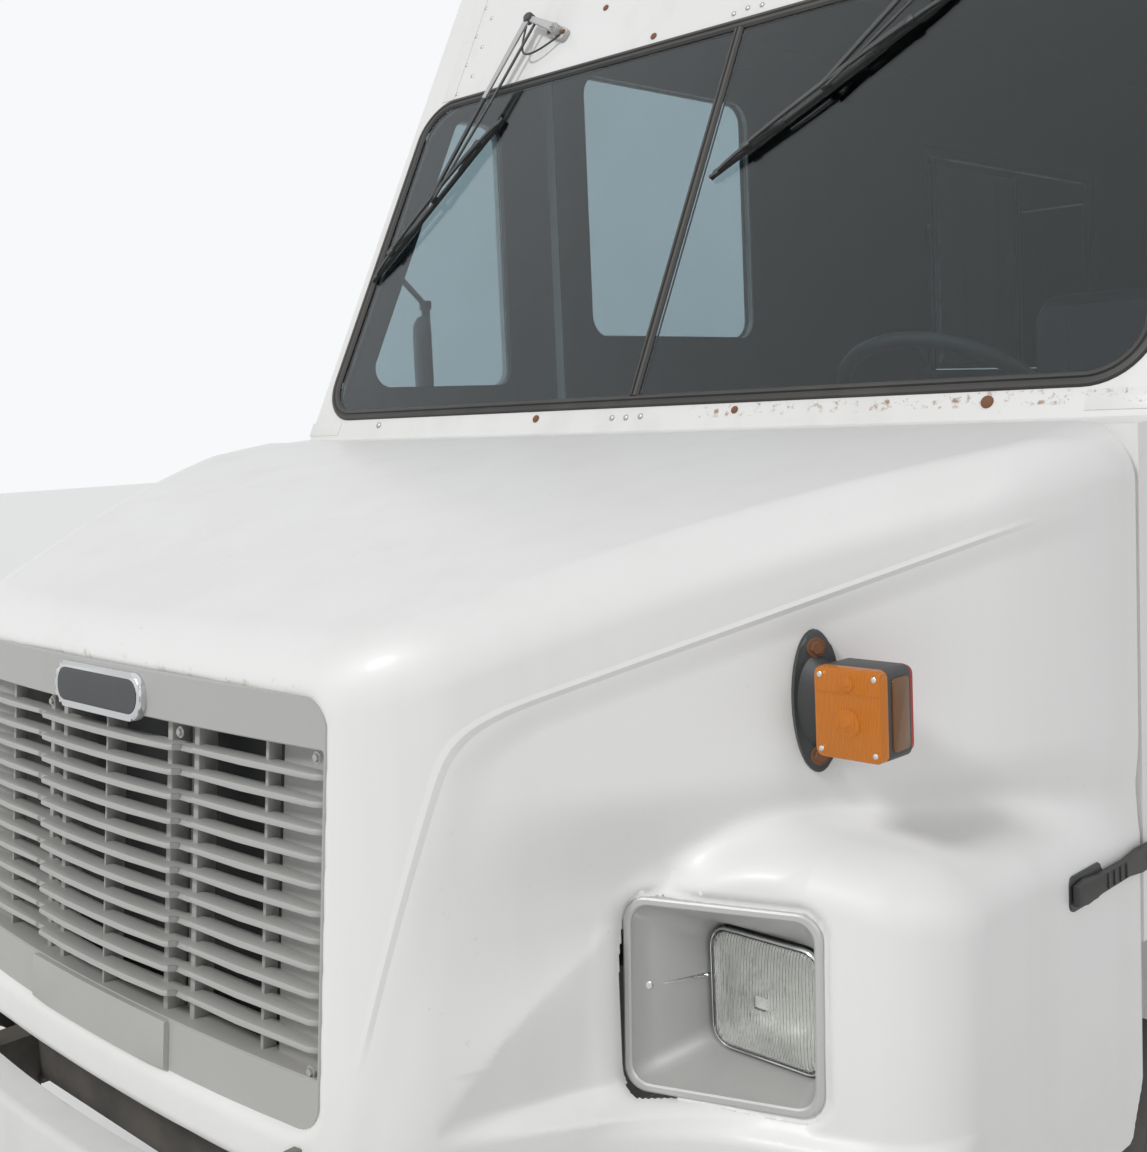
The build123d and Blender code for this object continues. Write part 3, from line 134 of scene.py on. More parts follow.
# Hood: the numbers of its moulded skin, walked over on a fine grid further down
hoodForm = {
    "half": 1.050, "rearY": -2.410, "top": ((-2.410, 1.570), (-2.860, 1.486), (-3.240, 1.372)),
    "faceY": -3.330, "faceTop": 1.297, "faceLow": 0.776, "lean": 0.048, "bow": 0.028,
    "cheekY": -2.570, "cheekX": 0.560, "topRadius": 0.062, "cornerRadius": 0.085, "sideRadius": 0.075,
    "noseLow": 0.722, "noseHalf": 0.600, "sideLow": 0.590, "edge": 0.010,
    "fender": ((0.605, 0.500), (0.612, 0.830), (0.745, 1.118), (0.930, 1.118), (1.050, 1.075)),
    "fenderRadii": (0.120, 0.150, 0.120), "fenderFront": (0.030, 0.075), "frontTurn": (0.98, 1.09),
    "sweep": 0.070, "outerTurn": (0.80, 0.10), "topSlope": 0.965,
    "archY": -1.970, "archZ": 0.406, "archR": 0.510,
    "lampX": 0.803, "lampY": -3.003, "lampZ": 0.903, "lampYaw": 20.0, "lampLean": 4.0,
    "lampHalf": (0.1205, 0.1170), "lampRadius": 0.026, "seat": 0.014,
    "seatBack": 0.001, "seatEase": 0.008, "holeEase": 0.003, "deep": 0.14,
    "dish": {"deep": 0.056, "from": 0.585, "to": 0.732, "top": 1.175, "foot": 0.855, "fade": 0.150,
             "rim": (0.639, 0.863), "rimSlope": 0.425, "crown": 1.075, "ledge": 0.770},
    "lip": {"proud": 0.016, "top": 0.774, "soft": 0.026},
    "grilleHalf": 0.496, "grilleRadius": 0.040, "grilleLip": 0.014,
    "crease": ((1.018, 1.457), (0.665, 1.282), (0.604, 1.173), (0.551, 0.897)), "creaseDeep": 0.006,
    "creaseSoft": 0.035, "creaseTurn": 0.060, "ridge": 0.0055, "ridgeHigh": 0.0022,
    "skin": 0.008, "flange": 0.028, "grid": 0.0055, "thin": 0.27,
    "gridLow": (0.0, -3.47, 0.56), "gridHigh": (1.08, -2.38, 1.62),
}

# Shader groups


def newGroup(name, inputs, outputs):
    group = bpy.data.node_groups.new(name, "ShaderNodeTree")
    kinds = {"f": "NodeSocketFloat", "c": "NodeSocketColor", "v": "NodeSocketVector"}
    for direction, sockets in (("INPUT", inputs), ("OUTPUT", outputs)):
        for label, kind, *start in sockets:
            socket = group.interface.new_socket(label, in_out=direction, socket_type=kinds[kind])
            if start:
                socket.default_value = start[0]
    return group, group.nodes.new("NodeGroupInput"), group.nodes.new("NodeGroupOutput")


def ramp(tree, value, low, high, newLow=0.0, newHigh=1.0):
    return addNode(tree, "ShaderNodeMapRange", {0: value, 1: low, 2: high, 3: newLow, 4: newHigh}).outputs[0]


def mixColor(tree, share, first, second, blend="MIX"):
    return addNode(tree, "ShaderNodeMix", {0: share, 6: first, 7: second},
                   data_type="RGBA", blend_type=blend).outputs[2]


def noise(tree, place, scale, detail=4.0, rough=0.55, stretch=None):
    if stretch:
        place = addNode(tree, "ShaderNodeMapping", {"Vector": place, "Scale": stretch}).outputs[0]
    return addNode(tree, "ShaderNodeTexNoise",
                   {"Vector": place, "Scale": scale, "Detail": detail, "Roughness": rough}).outputs[0]


# Road dust low down, upright streaks and dull patches, over any base colour
def makeWeatherGroup():
    group, into, out = newGroup(
        "roadWeather", [("Color", "c"), ("Dust Color", "c", (0.30, 0.27, 0.23, 1)), ("Dust Top", "f", 0.9),
         ("Dust", "f", 0.5), ("Streaks", "f", 0.3), ("Patches", "f", 0.3)],
        [("Color", "c"), ("Mask", "f")],
    )
    place = addNode(group, "ShaderNodeTexCoord").outputs["Object"]
    split = addNode(group, "ShaderNodeSeparateXYZ", {0: place})
    low = addNode(group, "ShaderNodeMapRange", {0: split.outputs[2], 1: into.outputs["Dust Top"], 2: 0.15})
    cloud = ramp(group, noise(group, place, 6.0, 6.0, 0.65), 0.35, 0.75)
    dust = calc(group, "MULTIPLY", low.outputs[0], calc(group, "ADD", cloud, 0.35))
    facing = addNode(group, "ShaderNodeNewGeometry").outputs["Normal"]
    upward = addNode(group, "ShaderNodeSeparateXYZ", {0: facing}).outputs[2]
    upward = ramp(group, upward, 0.55, 1.0, 0.0, 0.22)
    dust = calc(group, "ADD", dust, calc(group, "MULTIPLY", upward, cloud))
    dust = calc(group, "MULTIPLY", dust, into.outputs["Dust"], clamp=True)
    streak = ramp(group, noise(group, place, 9.0, 3.0, 0.6, (1.0, 1.0, 0.06)), 0.52, 0.80, 0.0, 0.5)
    streak = calc(group, "MULTIPLY", streak, into.outputs["Streaks"])
    patch = ramp(group, noise(group, place, 1.3, 3.0, 0.5), 0.38, 0.72, 0.0, 0.35)
    patch = calc(group, "MULTIPLY", patch, into.outputs["Patches"])
    mask = calc(group, "ADD", calc(group, "ADD", dust, streak), patch, clamp=True)
    color = mixColor(group, mask, into.outputs["Color"], into.outputs["Dust Color"])
    group.links.new(color, out.inputs["Color"])
    group.links.new(mask, out.inputs["Mask"])
    return group


# Chips and rubbed places: small spots, and longer scratches along one direction
def makeWearGroup():
    group, into, out = newGroup(
        "chipWear", [("Amount", "f", 0.5), ("Scale", "f", 30.0), ("Scratch", "f", 0.0)], [("Mask", "f")])
    place = addNode(group, "ShaderNodeTexCoord").outputs["Object"]
    grit = noise(group, place, into.outputs["Scale"], 6.0, 0.7)
    where = ramp(group, noise(group, place, 2.3, 2.0, 0.5), 0.45, 0.65)
    spots = calc(group, "MULTIPLY", ramp(group, grit, 0.66, 0.70), where)
    line = ramp(group, noise(group, place, into.outputs["Scale"], 3.0, 0.7, (0.10, 1.0, 1.6)), 0.66, 0.70)
    line = calc(group, "MULTIPLY", line, into.outputs["Scratch"])
    mask = calc(group, "MULTIPLY", calc(group, "ADD", spots, line), into.outputs["Amount"], clamp=True)
    group.links.new(mask, out.inputs["Mask"])
    return group


# Fine relief: grain at one scale and a slow waviness, as a height
def makeGrainGroup():
    group, into, out = newGroup(
        "fineGrain", [("Grain Scale", "f", 400.0), ("Grain", "f", 0.3), ("Wave Scale", "f", 4.0),
                      ("Wave", "f", 0.3)],
        [("Height", "f"), ("Mask", "f")])
    place = addNode(group, "ShaderNodeTexCoord").outputs["Object"]
    fine = noise(group, place, into.outputs["Grain Scale"], 3.0, 0.6)
    slow = noise(group, place, into.outputs["Wave Scale"], 2.0, 0.4)
    height = calc(group, "ADD", calc(group, "MULTIPLY", fine, into.outputs["Grain"]),
                  calc(group, "MULTIPLY", slow, into.outputs["Wave"]))
    group.links.new(height, out.inputs["Height"])
    group.links.new(fine, out.inputs["Mask"])
    return group


weatherGroup = makeWeatherGroup()
wearGroup = makeWearGroup()
grainGroup = makeGrainGroup()


def useGroup(tree, group, **values):
    made = addNode(tree, "ShaderNodeGroup", node_tree=group)
    for key, value in values.items():
        socket = made.inputs[key.replace("_", " ")]
        if isinstance(value, bpy.types.NodeSocket):
            tree.links.new(value, socket)
        else:
            socket.default_value = value
    return made


# A 0 to 1 mask inside a box of Object coordinates, faded over a soft edge
def boxMask(tree, low, high, soft=0.01):
    place = addNode(tree, "ShaderNodeTexCoord").outputs["Object"]
    split = addNode(tree, "ShaderNodeSeparateXYZ", {0: place})
    mask = 1.0
    for axis in range(3):
        middle, half = (low[axis] + high[axis]) / 2, (high[axis] - low[axis]) / 2
        off = calc(tree, "ABSOLUTE", calc(tree, "SUBTRACT", split.outputs[axis], middle))
        mask = calc(tree, "MULTIPLY", mask, ramp(tree, off, half + soft, half))
    return mask


# The fine ridge along the hood's crease, as a height over the cheek
def creaseRidge(tree, f):
    place = addNode(tree, "ShaderNodeTexCoord").outputs["Object"]
    split = addNode(tree, "ShaderNodeSeparateXYZ", {0: place})
    across = calc(tree, "ABSOLUTE", split.outputs[0])
    rear, turn, low, foot = f["crease"]
    sidesOff = []
    for a, b in ((rear, turn), (low, foot)):
        dx, dz = b[0] - a[0], b[1] - a[1]
        length = math.hypot(dx, dz)
        part = calc(tree, "MULTIPLY_ADD", across, dz / length, (a[1] * dx - a[0] * dz) / length)
        sidesOff.append(calc(tree, "MULTIPLY_ADD", split.outputs[2], -dx / length, part))
    merged = calc(tree, "SMOOTH_MAX", *sidesOff, f["creaseTurn"])
    crest = ramp(tree, calc(tree, "ABSOLUTE", merged), f["ridge"], 0.0, 0.0, f["ridgeHigh"])
    fade = calc(tree, "MULTIPLY", ramp(tree, across, 1.02, 0.98), ramp(tree, split.outputs[2], 0.86, 0.92))
    front = addNode(tree, "ShaderNodeSeparateXYZ",
                    {0: addNode(tree, "ShaderNodeNewGeometry").outputs["Normal"]})
    cheek = ramp(tree, calc(tree, "ABSOLUTE", front.outputs[0]), 0.35, 0.60)
    return calc(tree, "MULTIPLY", calc(tree, "MULTIPLY", crest, fade), cheek)


# A finished surface: base colour, road weather over it, chips and fine relief
def surface(name, color, rough, metal=0.0, coat=0.0, worn=None, weather=None, wear=None, grain=None,
            relief=0.001, innerShade=None, stain=None, ridge=None):
    made = bpy.data.materials.new(name)
    made.use_nodes = True
    tree = made.node_tree
    shader = tree.nodes["Principled BSDF"]
    shader.inputs["Coat Weight"].default_value = coat
    shader.inputs["Coat Roughness"].default_value = 0.08
    place = addNode(tree, "ShaderNodeTexCoord").outputs["Object"]
    base = (*color, 1.0)
    if innerShade:
        # painted shade: inside the body the panels are painted dark, standing in for the shade there
        split = addNode(tree, "ShaderNodeSeparateXYZ", {0: place})
        reach = calc(tree, "LESS_THAN", calc(tree, "ABSOLUTE", split.outputs[0]), innerShade["half"])
        depth = calc(tree, "GREATER_THAN", split.outputs[1], innerShade["front"])
        depth = calc(tree, "MULTIPLY", depth, calc(tree, "LESS_THAN", split.outputs[1], innerShade["rear"]))
        tall = calc(tree, "LESS_THAN", split.outputs[2], innerShade["top"])
        rake = calc(tree, "MULTIPLY_ADD", split.outputs[2], -innerShade["rake"], innerShade["rake"] * innerShade["cowl"])
        behind = calc(tree, "GREATER_THAN", calc(tree, "ADD", split.outputs[1], rake), innerShade["glass"])
        shadeInside = calc(tree, "MULTIPLY", calc(tree, "MULTIPLY", reach, depth),
                      calc(tree, "MULTIPLY", tall, behind))
        base = mixColor(tree, shadeInside, base, (*innerShade["color"], 1))
    if stain:
        spots = ramp(tree, noise(tree, place, stain["scale"], 6.0, 0.7), stain["from"], stain["from"] + 0.12)
        where = calc(tree, "MULTIPLY", boxMask(tree, stain["low"], stain["high"], stain["soft"]), spots)
        base = mixColor(tree, where, base, (*stain["color"], 1))
    weather = dict({"Dust": 0.3, "Dust_Top": 0.9, "Streaks": 0.2, "Patches": 0.2}, **(weather or {}))
    dusty = useGroup(tree, weatherGroup, Color=base, **weather)
    result = dusty.outputs["Color"]
    if wear:
        mask = useGroup(tree, wearGroup, **wear).outputs["Mask"]
        result = mixColor(tree, mask, result, (*worn, 1.0))
    tree.links.new(result, shader.inputs["Base Color"])
    start = {"Grain_Scale": 500.0, "Grain": 0.25, "Wave_Scale": 3.0, "Wave": 0.5}
    fine = useGroup(tree, grainGroup, **dict(start, **(grain or {})))
    bump = addNode(tree, "ShaderNodeBump",
                   {"Strength": 0.6, "Distance": relief, "Height": fine.outputs["Height"]})
    if ridge:
        line = creaseRidge(tree, ridge)
        bump = addNode(tree, "ShaderNodeBump",
                       {"Strength": 1.0, "Distance": 1.0, "Height": line, "Normal": bump.outputs[0]})
    tree.links.new(bump.outputs[0], shader.inputs["Normal"])
    tree.links.new(calc(tree, "MULTIPLY_ADD", dusty.outputs["Mask"], 0.5, rough), shader.inputs["Roughness"])
    shader.inputs["Metallic"].default_value = metal
    return made


# painted shade: the box inside the body, behind the windshield, and the dark colour painted on the panels
# there
shadeInside = {"half": 1.030, "front": -2.40, "rear": 3.37, "top": 3.022, "rake": 0.4912, "cowl": 1.62,
          "glass": -2.205, "color": (0.11, 0.115, 0.12)}
noseDirt = {"low": (-0.47, -3.42, 1.292), "high": (0.47, -3.28, 1.306), "soft": 0.008, "scale": 26.0,
            "from": 0.56, "color": (0.50, 0.42, 0.32)}
cowlChips = {"low": (0.16, -2.30, 1.600), "high": (1.04, -2.20, 1.619), "soft": 0.004, "scale": 60.0,
             "from": 0.55, "color": (0.34, 0.20, 0.12)}
bodyPaint = {
    "color": (0.80, 0.80, 0.785), "rough": 0.34, "coat": 0.15, "worn": (0.40, 0.30, 0.22), "relief": 0.0016,
    "weather": {"Dust": 0.40, "Streaks": 0.28, "Patches": 0.18}, "wear": {"Amount": 0.6, "Scale": 45.0},
    "grain": {"Wave_Scale": 2.2, "Wave": 1.0, "Grain_Scale": 300.0, "Grain": 0.05},
}
bodyWhite = surface("bodyWhite", innerShade=shadeInside, stain=cowlChips, **bodyPaint)
doorWhite = surface("doorWhite", innerShade=dict(shadeInside, half=0.975), **bodyPaint)
hoodWhite = surface("hoodWhite", (0.82, 0.82, 0.805), 0.42, coat=0.05, worn=(0.55, 0.50, 0.43),
                    weather={"Dust": 0.30, "Streaks": 0.10, "Patches": 0.10},
                    wear={"Amount": 0.35, "Scale": 60.0}, relief=0.0008,
                    grain={"Wave_Scale": 3.0, "Wave": 0.8, "Grain_Scale": 350.0, "Grain": 0.04},
                    stain=noseDirt, ridge=hoodForm)
grilleGrey = surface("grilleGrey", (0.43, 0.43, 0.415), 0.46, worn=(0.56, 0.55, 0.53),
                     weather={"Dust": 0.35, "Dust_Top": 1.1, "Streaks": 0.2},
                     wear={"Amount": 0.3, "Scale": 90.0})
rubberBlack = surface("rubberBlack", (0.030, 0.029, 0.028), 0.50, worn=(0.11, 0.10, 0.095),
                      weather={"Dust": 0.3, "Patches": 0.25}, wear={"Amount": 0.4, "Scale": 60.0},
                      grain={"Grain_Scale": 700.0, "Grain": 0.6})
tyreBlack = surface("tyreBlack", (0.032, 0.031, 0.030), 0.70, weather={"Dust": 0.45, "Dust_Top": 0.9},
                    grain={"Grain_Scale": 260.0, "Grain": 0.8})
plasticBlack = surface("plasticBlack", (0.036, 0.038, 0.040), 0.40, worn=(0.15, 0.15, 0.145),
                       weather={"Dust": 0.22}, wear={"Amount": 0.3, "Scale": 70.0},
                       grain={"Grain_Scale": 900.0, "Grain": 0.7})
lampSilver = surface("lampSilver", (0.55, 0.55, 0.54), 0.34, metal=0.30, worn=(0.40, 0.39, 0.37),
                     weather={"Dust": 0.25, "Dust_Top": 1.2}, wear={"Amount": 0.3, "Scale": 80.0})
rimGrey = surface("rimGrey", (0.62, 0.62, 0.61), 0.36, worn=(0.42, 0.40, 0.38), weather={"Dust": 0.2},
                  wear={"Amount": 0.4, "Scale": 70.0})
bowlSilver = surface("bowlSilver", (0.97, 0.97, 0.95), 0.30, metal=0.15, weather={"Dust": 0.05},
                     relief=0.0004, grain={"Grain_Scale": 90.0, "Grain": 1.0})
mirrorSilver = surface("mirrorSilver", (0.86, 0.87, 0.87), 0.06, metal=1.0,
                       weather={"Dust": 0.05, "Patches": 0.05},
                       grain={"Grain": 0.02, "Wave": 0.1}, relief=0.0004)
chromeTrim = surface("chromeTrim", (0.70, 0.71, 0.72), 0.12, metal=1.0, weather={"Dust": 0.15},
                     grain={"Grain": 0.1, "Wave": 0.2}, relief=0.0004)
frameBlack = surface("frameBlack", (0.040, 0.040, 0.042), 0.58, worn=(0.24, 0.13, 0.07),
                     weather={"Dust": 0.7, "Dust_Top": 1.2}, wear={"Amount": 0.7, "Scale": 25.0})
castGrey = surface("castGrey", (0.20, 0.195, 0.19), 0.66, metal=0.3, worn=(0.26, 0.14, 0.08),
                   weather={"Dust": 0.6, "Dust_Top": 1.2}, wear={"Amount": 0.6, "Scale": 30.0},
                   grain={"Grain_Scale": 160.0, "Grain": 1.0})
rustBrown = surface("rustBrown", (0.20, 0.085, 0.040), 0.78, worn=(0.33, 0.17, 0.09),
                    wear={"Amount": 0.9, "Scale": 160.0}, grain={"Grain_Scale": 420.0, "Grain": 1.2})
zincGrey = surface("zincGrey", (0.45, 0.45, 0.44), 0.42, metal=0.7, worn=(0.30, 0.20, 0.13),
                   wear={"Amount": 0.6, "Scale": 120.0})
stainless = surface("stainless", (0.60, 0.60, 0.61), 0.30, metal=0.9, weather={"Dust": 0.15},
                    grain={"Grain_Scale": 240.0, "Grain": 0.4})
wheelWhite = surface("wheelWhite", (0.76, 0.76, 0.74), 0.36, coat=0.2, worn=(0.30, 0.17, 0.10),
                     weather={"Dust": 0.6, "Dust_Top": 0.85}, wear={"Amount": 0.6, "Scale": 45.0})
bumperPaint = surface("bumperPaint", (0.72, 0.72, 0.71), 0.36, worn=(0.30, 0.27, 0.25),
                      weather={"Dust": 0.3}, wear={"Amount": 0.8, "Scale": 30.0, "Scratch": 0.6})
dashGrey = surface("dashGrey", (0.060, 0.064, 0.068), 0.62, weather={"Dust": 0.3, "Dust_Top": 0.2},
                   grain={"Grain_Scale": 420.0, "Grain": 0.9})
seatVinyl = surface("seatVinyl", (0.045, 0.046, 0.052), 0.45, grain={"Grain_Scale": 320.0, "Grain": 0.9})
floorPlate = surface("floorPlate", (0.42, 0.42, 0.42), 0.42, metal=0.6,
                     weather={"Dust": 0.5, "Dust_Top": 1.1})


# Clear or tinted glass; flutes add fine upright ridges, as on a lamp's front
def glassMaterial(name, color, rough=0.0, flutes=0.0, density=0.8, clear=1.0):
    made = bpy.data.materials.new(name)
    made.use_nodes = True
    tree = made.node_tree
    shader = tree.nodes["Principled BSDF"]
    shader.inputs["Transmission Weight"].default_value = clear
    shader.inputs["IOR"].default_value = 1.45
    place = addNode(tree, "ShaderNodeTexCoord").outputs["Object"]
    film = ramp(tree, noise(tree, place, 7.0, 5.0, 0.7), 0.45, 0.85, rough, rough + 0.06)
    tree.links.new(film, shader.inputs["Roughness"])
    tint = mixColor(tree, ramp(tree, noise(tree, place, 2.0, 2.0, 0.5), 0.3, 0.7), (*color, 1),
                    (*[c * density for c in color], 1))
    tree.links.new(tint, shader.inputs["Base Color"])
    if flutes:
        waves = addNode(tree, "ShaderNodeTexWave", {"Vector": place, "Scale": flutes, "Distortion": 0.6},
                        bands_direction="X")
        bump = addNode(tree, "ShaderNodeBump",
                       {"Strength": 0.8, "Distance": 0.0012, "Height": waves.outputs[1]})
        tree.links.new(bump.outputs[0], shader.inputs["Normal"])
    return made


cabGlass = glassMaterial("cabGlass", (0.50, 0.59, 0.62), density=0.93)
lampGlass = glassMaterial("lampGlass", (0.96, 0.97, 0.95), flutes=70.0, density=0.95)
amberLens = glassMaterial("amberLens", (0.90, 0.27, 0.015), 0.12, flutes=90.0, clear=0.22)
redLens = glassMaterial("redLens", (0.60, 0.020, 0.012), 0.12, flutes=90.0, clear=0.22)
smokeLens = glassMaterial("smokeLens", (0.30, 0.13, 0.04), 0.16, clear=0.3)

slotFinish = {
    "white_paint": bodyWhite, "moulded_white": hoodWhite, "frame_black": frameBlack, "steel_grey": castGrey,
    "stainless": stainless, "clear_glass": cabGlass, "lamp_silver": lampSilver, "amber_lens": amberLens,
    "black_plastic": plasticBlack, "black_rubber": rubberBlack, "tyre_black": tyreBlack,
    "wheel_white": wheelWhite,
    "bumper_paint": bumperPaint, "dash_grey": dashGrey, "seat_vinyl": seatVinyl, "floor_plate": floorPlate,
}
nodeSlots = {part["node"]: part["material_slot"] for part in frame["record"]["subparts"]}
for nodeName, nodeObject in nodes.items():
    for place in nodeObject.material_slots:
        place.material = doorWhite if nodeName.startswith("cab_door") else slotFinish[nodeSlots[nodeName]]
print("materials made:", len(bpy.data.materials))

# Shape helpers


# A place and a turn: local X runs across, local Z points out
def placeAt(origin, across=(1, 0, 0), out=(0, 0, 1)):
    out = Vector(out).normalized()
    across = Vector(across)
    across = (across - out * across.dot(out)).normalized()
    made = Matrix((across, out.cross(across), out)).transposed().to_4x4()
    made.translation = Vector(origin)
    return made


# A place on a side of the truck: local X runs rearwards, local Z points outwards
def sidePlace(side, x, y, z):
    return placeAt((side * x, y, z), (0, 1, 0), (side, 0, 0))


def slide(x, y, z):
    return Matrix.Translation((x, y, z))


def pour(form, part, at, finish):
    part.transform(at)
    for face in part.faces:
        face.material_index = finish
    data = bpy.data.meshes.new("poured")
    part.to_mesh(data)
    form.from_mesh(data)
    part.free()
    bpy.data.meshes.remove(data)


def easeEdges(part, edges, radius, steps=2):
    if radius:
        bmesh.ops.bevel(part, geom=list(edges), offset=radius, segments=steps, profile=0.5, affect="EDGES")


def addBlock(form, at, size, radius=0.002, finish=0):
    part = bmesh.new()
    bmesh.ops.create_cube(part, size=1.0)
    bmesh.ops.scale(part, vec=size, verts=part.verts)
    easeEdges(part, part.edges, radius)
    pour(form, part, at, finish)


# An outline in local X and Y, run along local Z; its far rim is eased, and its near one too if both is set
def addPrism(form, at, outline, depth, radius=0.0, both=False, finish=0):
    part = bmesh.new()
    low = [part.verts.new((x, y, 0)) for x, y in outline]
    high = [part.verts.new((x, y, depth)) for x, y in outline]
    part.faces.new(low[::-1])
    part.faces.new(high)
    for k in range(len(low)):
        part.faces.new((low[k - 1], low[k], high[k], high[k - 1]))
    top = set(high)
    base = set(low) if both else set()
    rims = [e for e in part.edges if all(v in top for v in e.verts) or all(v in base for v in e.verts)]
    easeEdges(part, rims, radius)
    pour(form, part, at, finish)


# A profile of radius and height turned round local Z
def addLathe(form, at, profile, steps=32, closed=False, finish=0):
    part = bmesh.new()
    rings = []
    for radius, height in profile:
        count = 1 if radius < 1e-6 else steps
        rings.append([part.verts.new((radius * math.cos(math.tau * k / count),
                                      radius * math.sin(math.tau * k / count),
                                      height)) for k in range(count)])
    pairs = list(zip(rings, rings[1:])) + ([(rings[-1], rings[0])] if closed else [])
    for low, high in pairs:
        for k in range(steps):
            ring = [low[k % len(low)], low[(k + 1) % len(low)], high[(k + 1) % len(high)],
                    high[k % len(high)]]
            part.faces.new(list(dict.fromkeys(ring)))
    pour(form, part, at, finish)


# Loops of equal length joined in turn, closed at both ends by flat faces or on themselves
def addLoft(form, loops, at=Matrix(), closed=False, caps=True, finish=0):
    part = bmesh.new()
    rings = [[part.verts.new(point) for point in loop] for loop in loops]
    pairs = list(zip(rings, rings[1:])) + ([(rings[-1], rings[0])] if closed else [])
    for low, high in pairs:
        for k in range(len(low)):
            part.faces.new((low[k - 1], low[k], high[k], high[k - 1]))
    if caps and not closed:
        part.faces.new(rings[0][::-1])
        part.faces.new(rings[-1])
    pour(form, part, at, finish)


def addTube(form, path, radius, sides=10, finish=0, flat=1.0):
    path = [Vector(point) for point in path]
    up = (path[1] - path[0]).orthogonal().normalized()
    loops = []
    for k, point in enumerate(path):
        ahead = (path[min(k + 1, len(path) - 1)] - path[max(k - 1, 0)]).normalized()
        up = (up - ahead * up.dot(ahead)).normalized()
        side = ahead.cross(up)
        turns = [math.tau * j / sides for j in range(sides)]
        loops.append([point + (up * math.cos(a) * flat + side * math.sin(a)) * radius for a in turns])
    addLoft(form, loops, finish=finish)


# A path whose corners are rounded
def bend(path, reach=0.03, steps=5):
    path = [Vector(point) for point in path]
    made = [path[0]]
    for before, here, after in zip(path, path[1:], path[2:]):
        first = here + (before - here).normalized() * min(reach, (before - here).length / 2)
        last = here + (after - here).normalized() * min(reach, (after - here).length / 2)
        made += [first * (1 - t) ** 2 + here * 2 * t * (1 - t) + last * t * t for t in
                 [k / steps for k in range(steps + 1)]]
    return made + [path[-1]]


# Points round a rounded rectangle, with extra points along its straight sides
def roundRect(wide, high, radius, steps=5, fill=0, middle=(0.0, 0.0)):
    corners = ((1, -1, -90), (1, 1, 0), (-1, 1, 90), (-1, -1, 180))
    made = []
    for x, y, start in corners:
        for k in range(steps + 1):
            turn = math.radians(start + 90 * k / steps)
            made.append((middle[0] + x * (wide / 2 - radius) + radius * math.cos(turn),
                         middle[1] + y * (high / 2 - radius) + radius * math.sin(turn)))
        if fill:
            nextX, nextY, nextStart = corners[(corners.index((x, y, start)) + 1) % 4]
            turn = math.radians(nextStart)
            end = (middle[0] + nextX * (wide / 2 - radius) + radius * math.cos(turn),
                   middle[1] + nextY * (high / 2 - radius) + radius * math.sin(turn))
            first = made[-1]
            made += [(first[0] + (end[0] - first[0]) * k / (fill + 1),
                      first[1] + (end[1] - first[1]) * k / (fill + 1))
                     for k in range(1, fill + 1)]
    return made


def oval(wide, high, steps=28, middle=(0.0, 0.0)):
    return [(middle[0] + wide / 2 * math.cos(math.tau * k / steps),
             middle[1] + high / 2 * math.sin(math.tau * k / steps))
            for k in range(steps)]


def raised(outline, height):
    return [(x, y, height) for x, y in outline]


def standPiece(piece, body, replaced=()):
    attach(piece, body)
    if replaced:
        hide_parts(*replaced)


def makePiece(name, form, finishes, body=None, replaced=(), sharp=32.0):
    bmesh.ops.recalc_face_normals(form, faces=form.faces[:])
    data = bpy.data.meshes.new(name)
    form.to_mesh(data)
    form.free()
    for finish in finishes:
        data.materials.append(finish)
    data.shade_smooth()
    data.set_sharp_from_angle(angle=math.radians(sharp))
    piece = bpy.data.objects.new(name, data)
    scene.collection.objects.link(piece)
    if body:
        standPiece(piece, body, replaced)
    return piece


def applyModifiers(piece):
    view = bpy.context.evaluated_depsgraph_get()
    result = bpy.data.meshes.new_from_object(piece.evaluated_get(view))
    piece.modifiers.clear()
    old = piece.data
    piece.data = result
    bpy.data.meshes.remove(old)


# Geometry Nodes for what repeats


def newGrowth(name, inputs):
    tree = bpy.data.node_groups.new(name, "GeometryNodeTree")
    kinds = {"g": "NodeSocketGeometry", "i": "NodeSocketInt", "f": "NodeSocketFloat", "v": "NodeSocketVector",
             "m": "NodeSocketMaterial"}
    tree.interface.new_socket("Geometry", in_out="INPUT", socket_type=kinds["g"])
    for label, kind in inputs:
        tree.interface.new_socket(label, in_out="INPUT", socket_type=kinds[kind])
    tree.interface.new_socket("Geometry", in_out="OUTPUT", socket_type=kinds["g"])
    return tree, tree.nodes.new("NodeGroupInput"), tree.nodes.new("NodeGroupOutput")


def closeGrowth(tree, geometry, finish, out):
    whole = addNode(tree, "GeometryNodeRealizeInstances", {0: geometry})
    dressed = addNode(tree, "GeometryNodeSetMaterial", {"Geometry": whole.outputs[0], "Material": finish})
    tree.links.new(dressed.outputs[0], out.inputs[0])


# One shape repeated in a straight row
def makeRowGrowth():
    tree, into, out = newGrowth("straightRow", [("Count", "i"), ("Step", "v"), ("Finish", "m")])
    line = addNode(tree, "GeometryNodeMeshLine",
                   {"Count": into.outputs["Count"], "Offset": into.outputs["Step"]},
                   mode="OFFSET")
    copies = addNode(tree, "GeometryNodeInstanceOnPoints",
                     {"Points": line.outputs[0], "Instance": into.outputs[0]})
    closeGrowth(tree, copies.outputs[0], into.outputs["Finish"], out)
    return tree


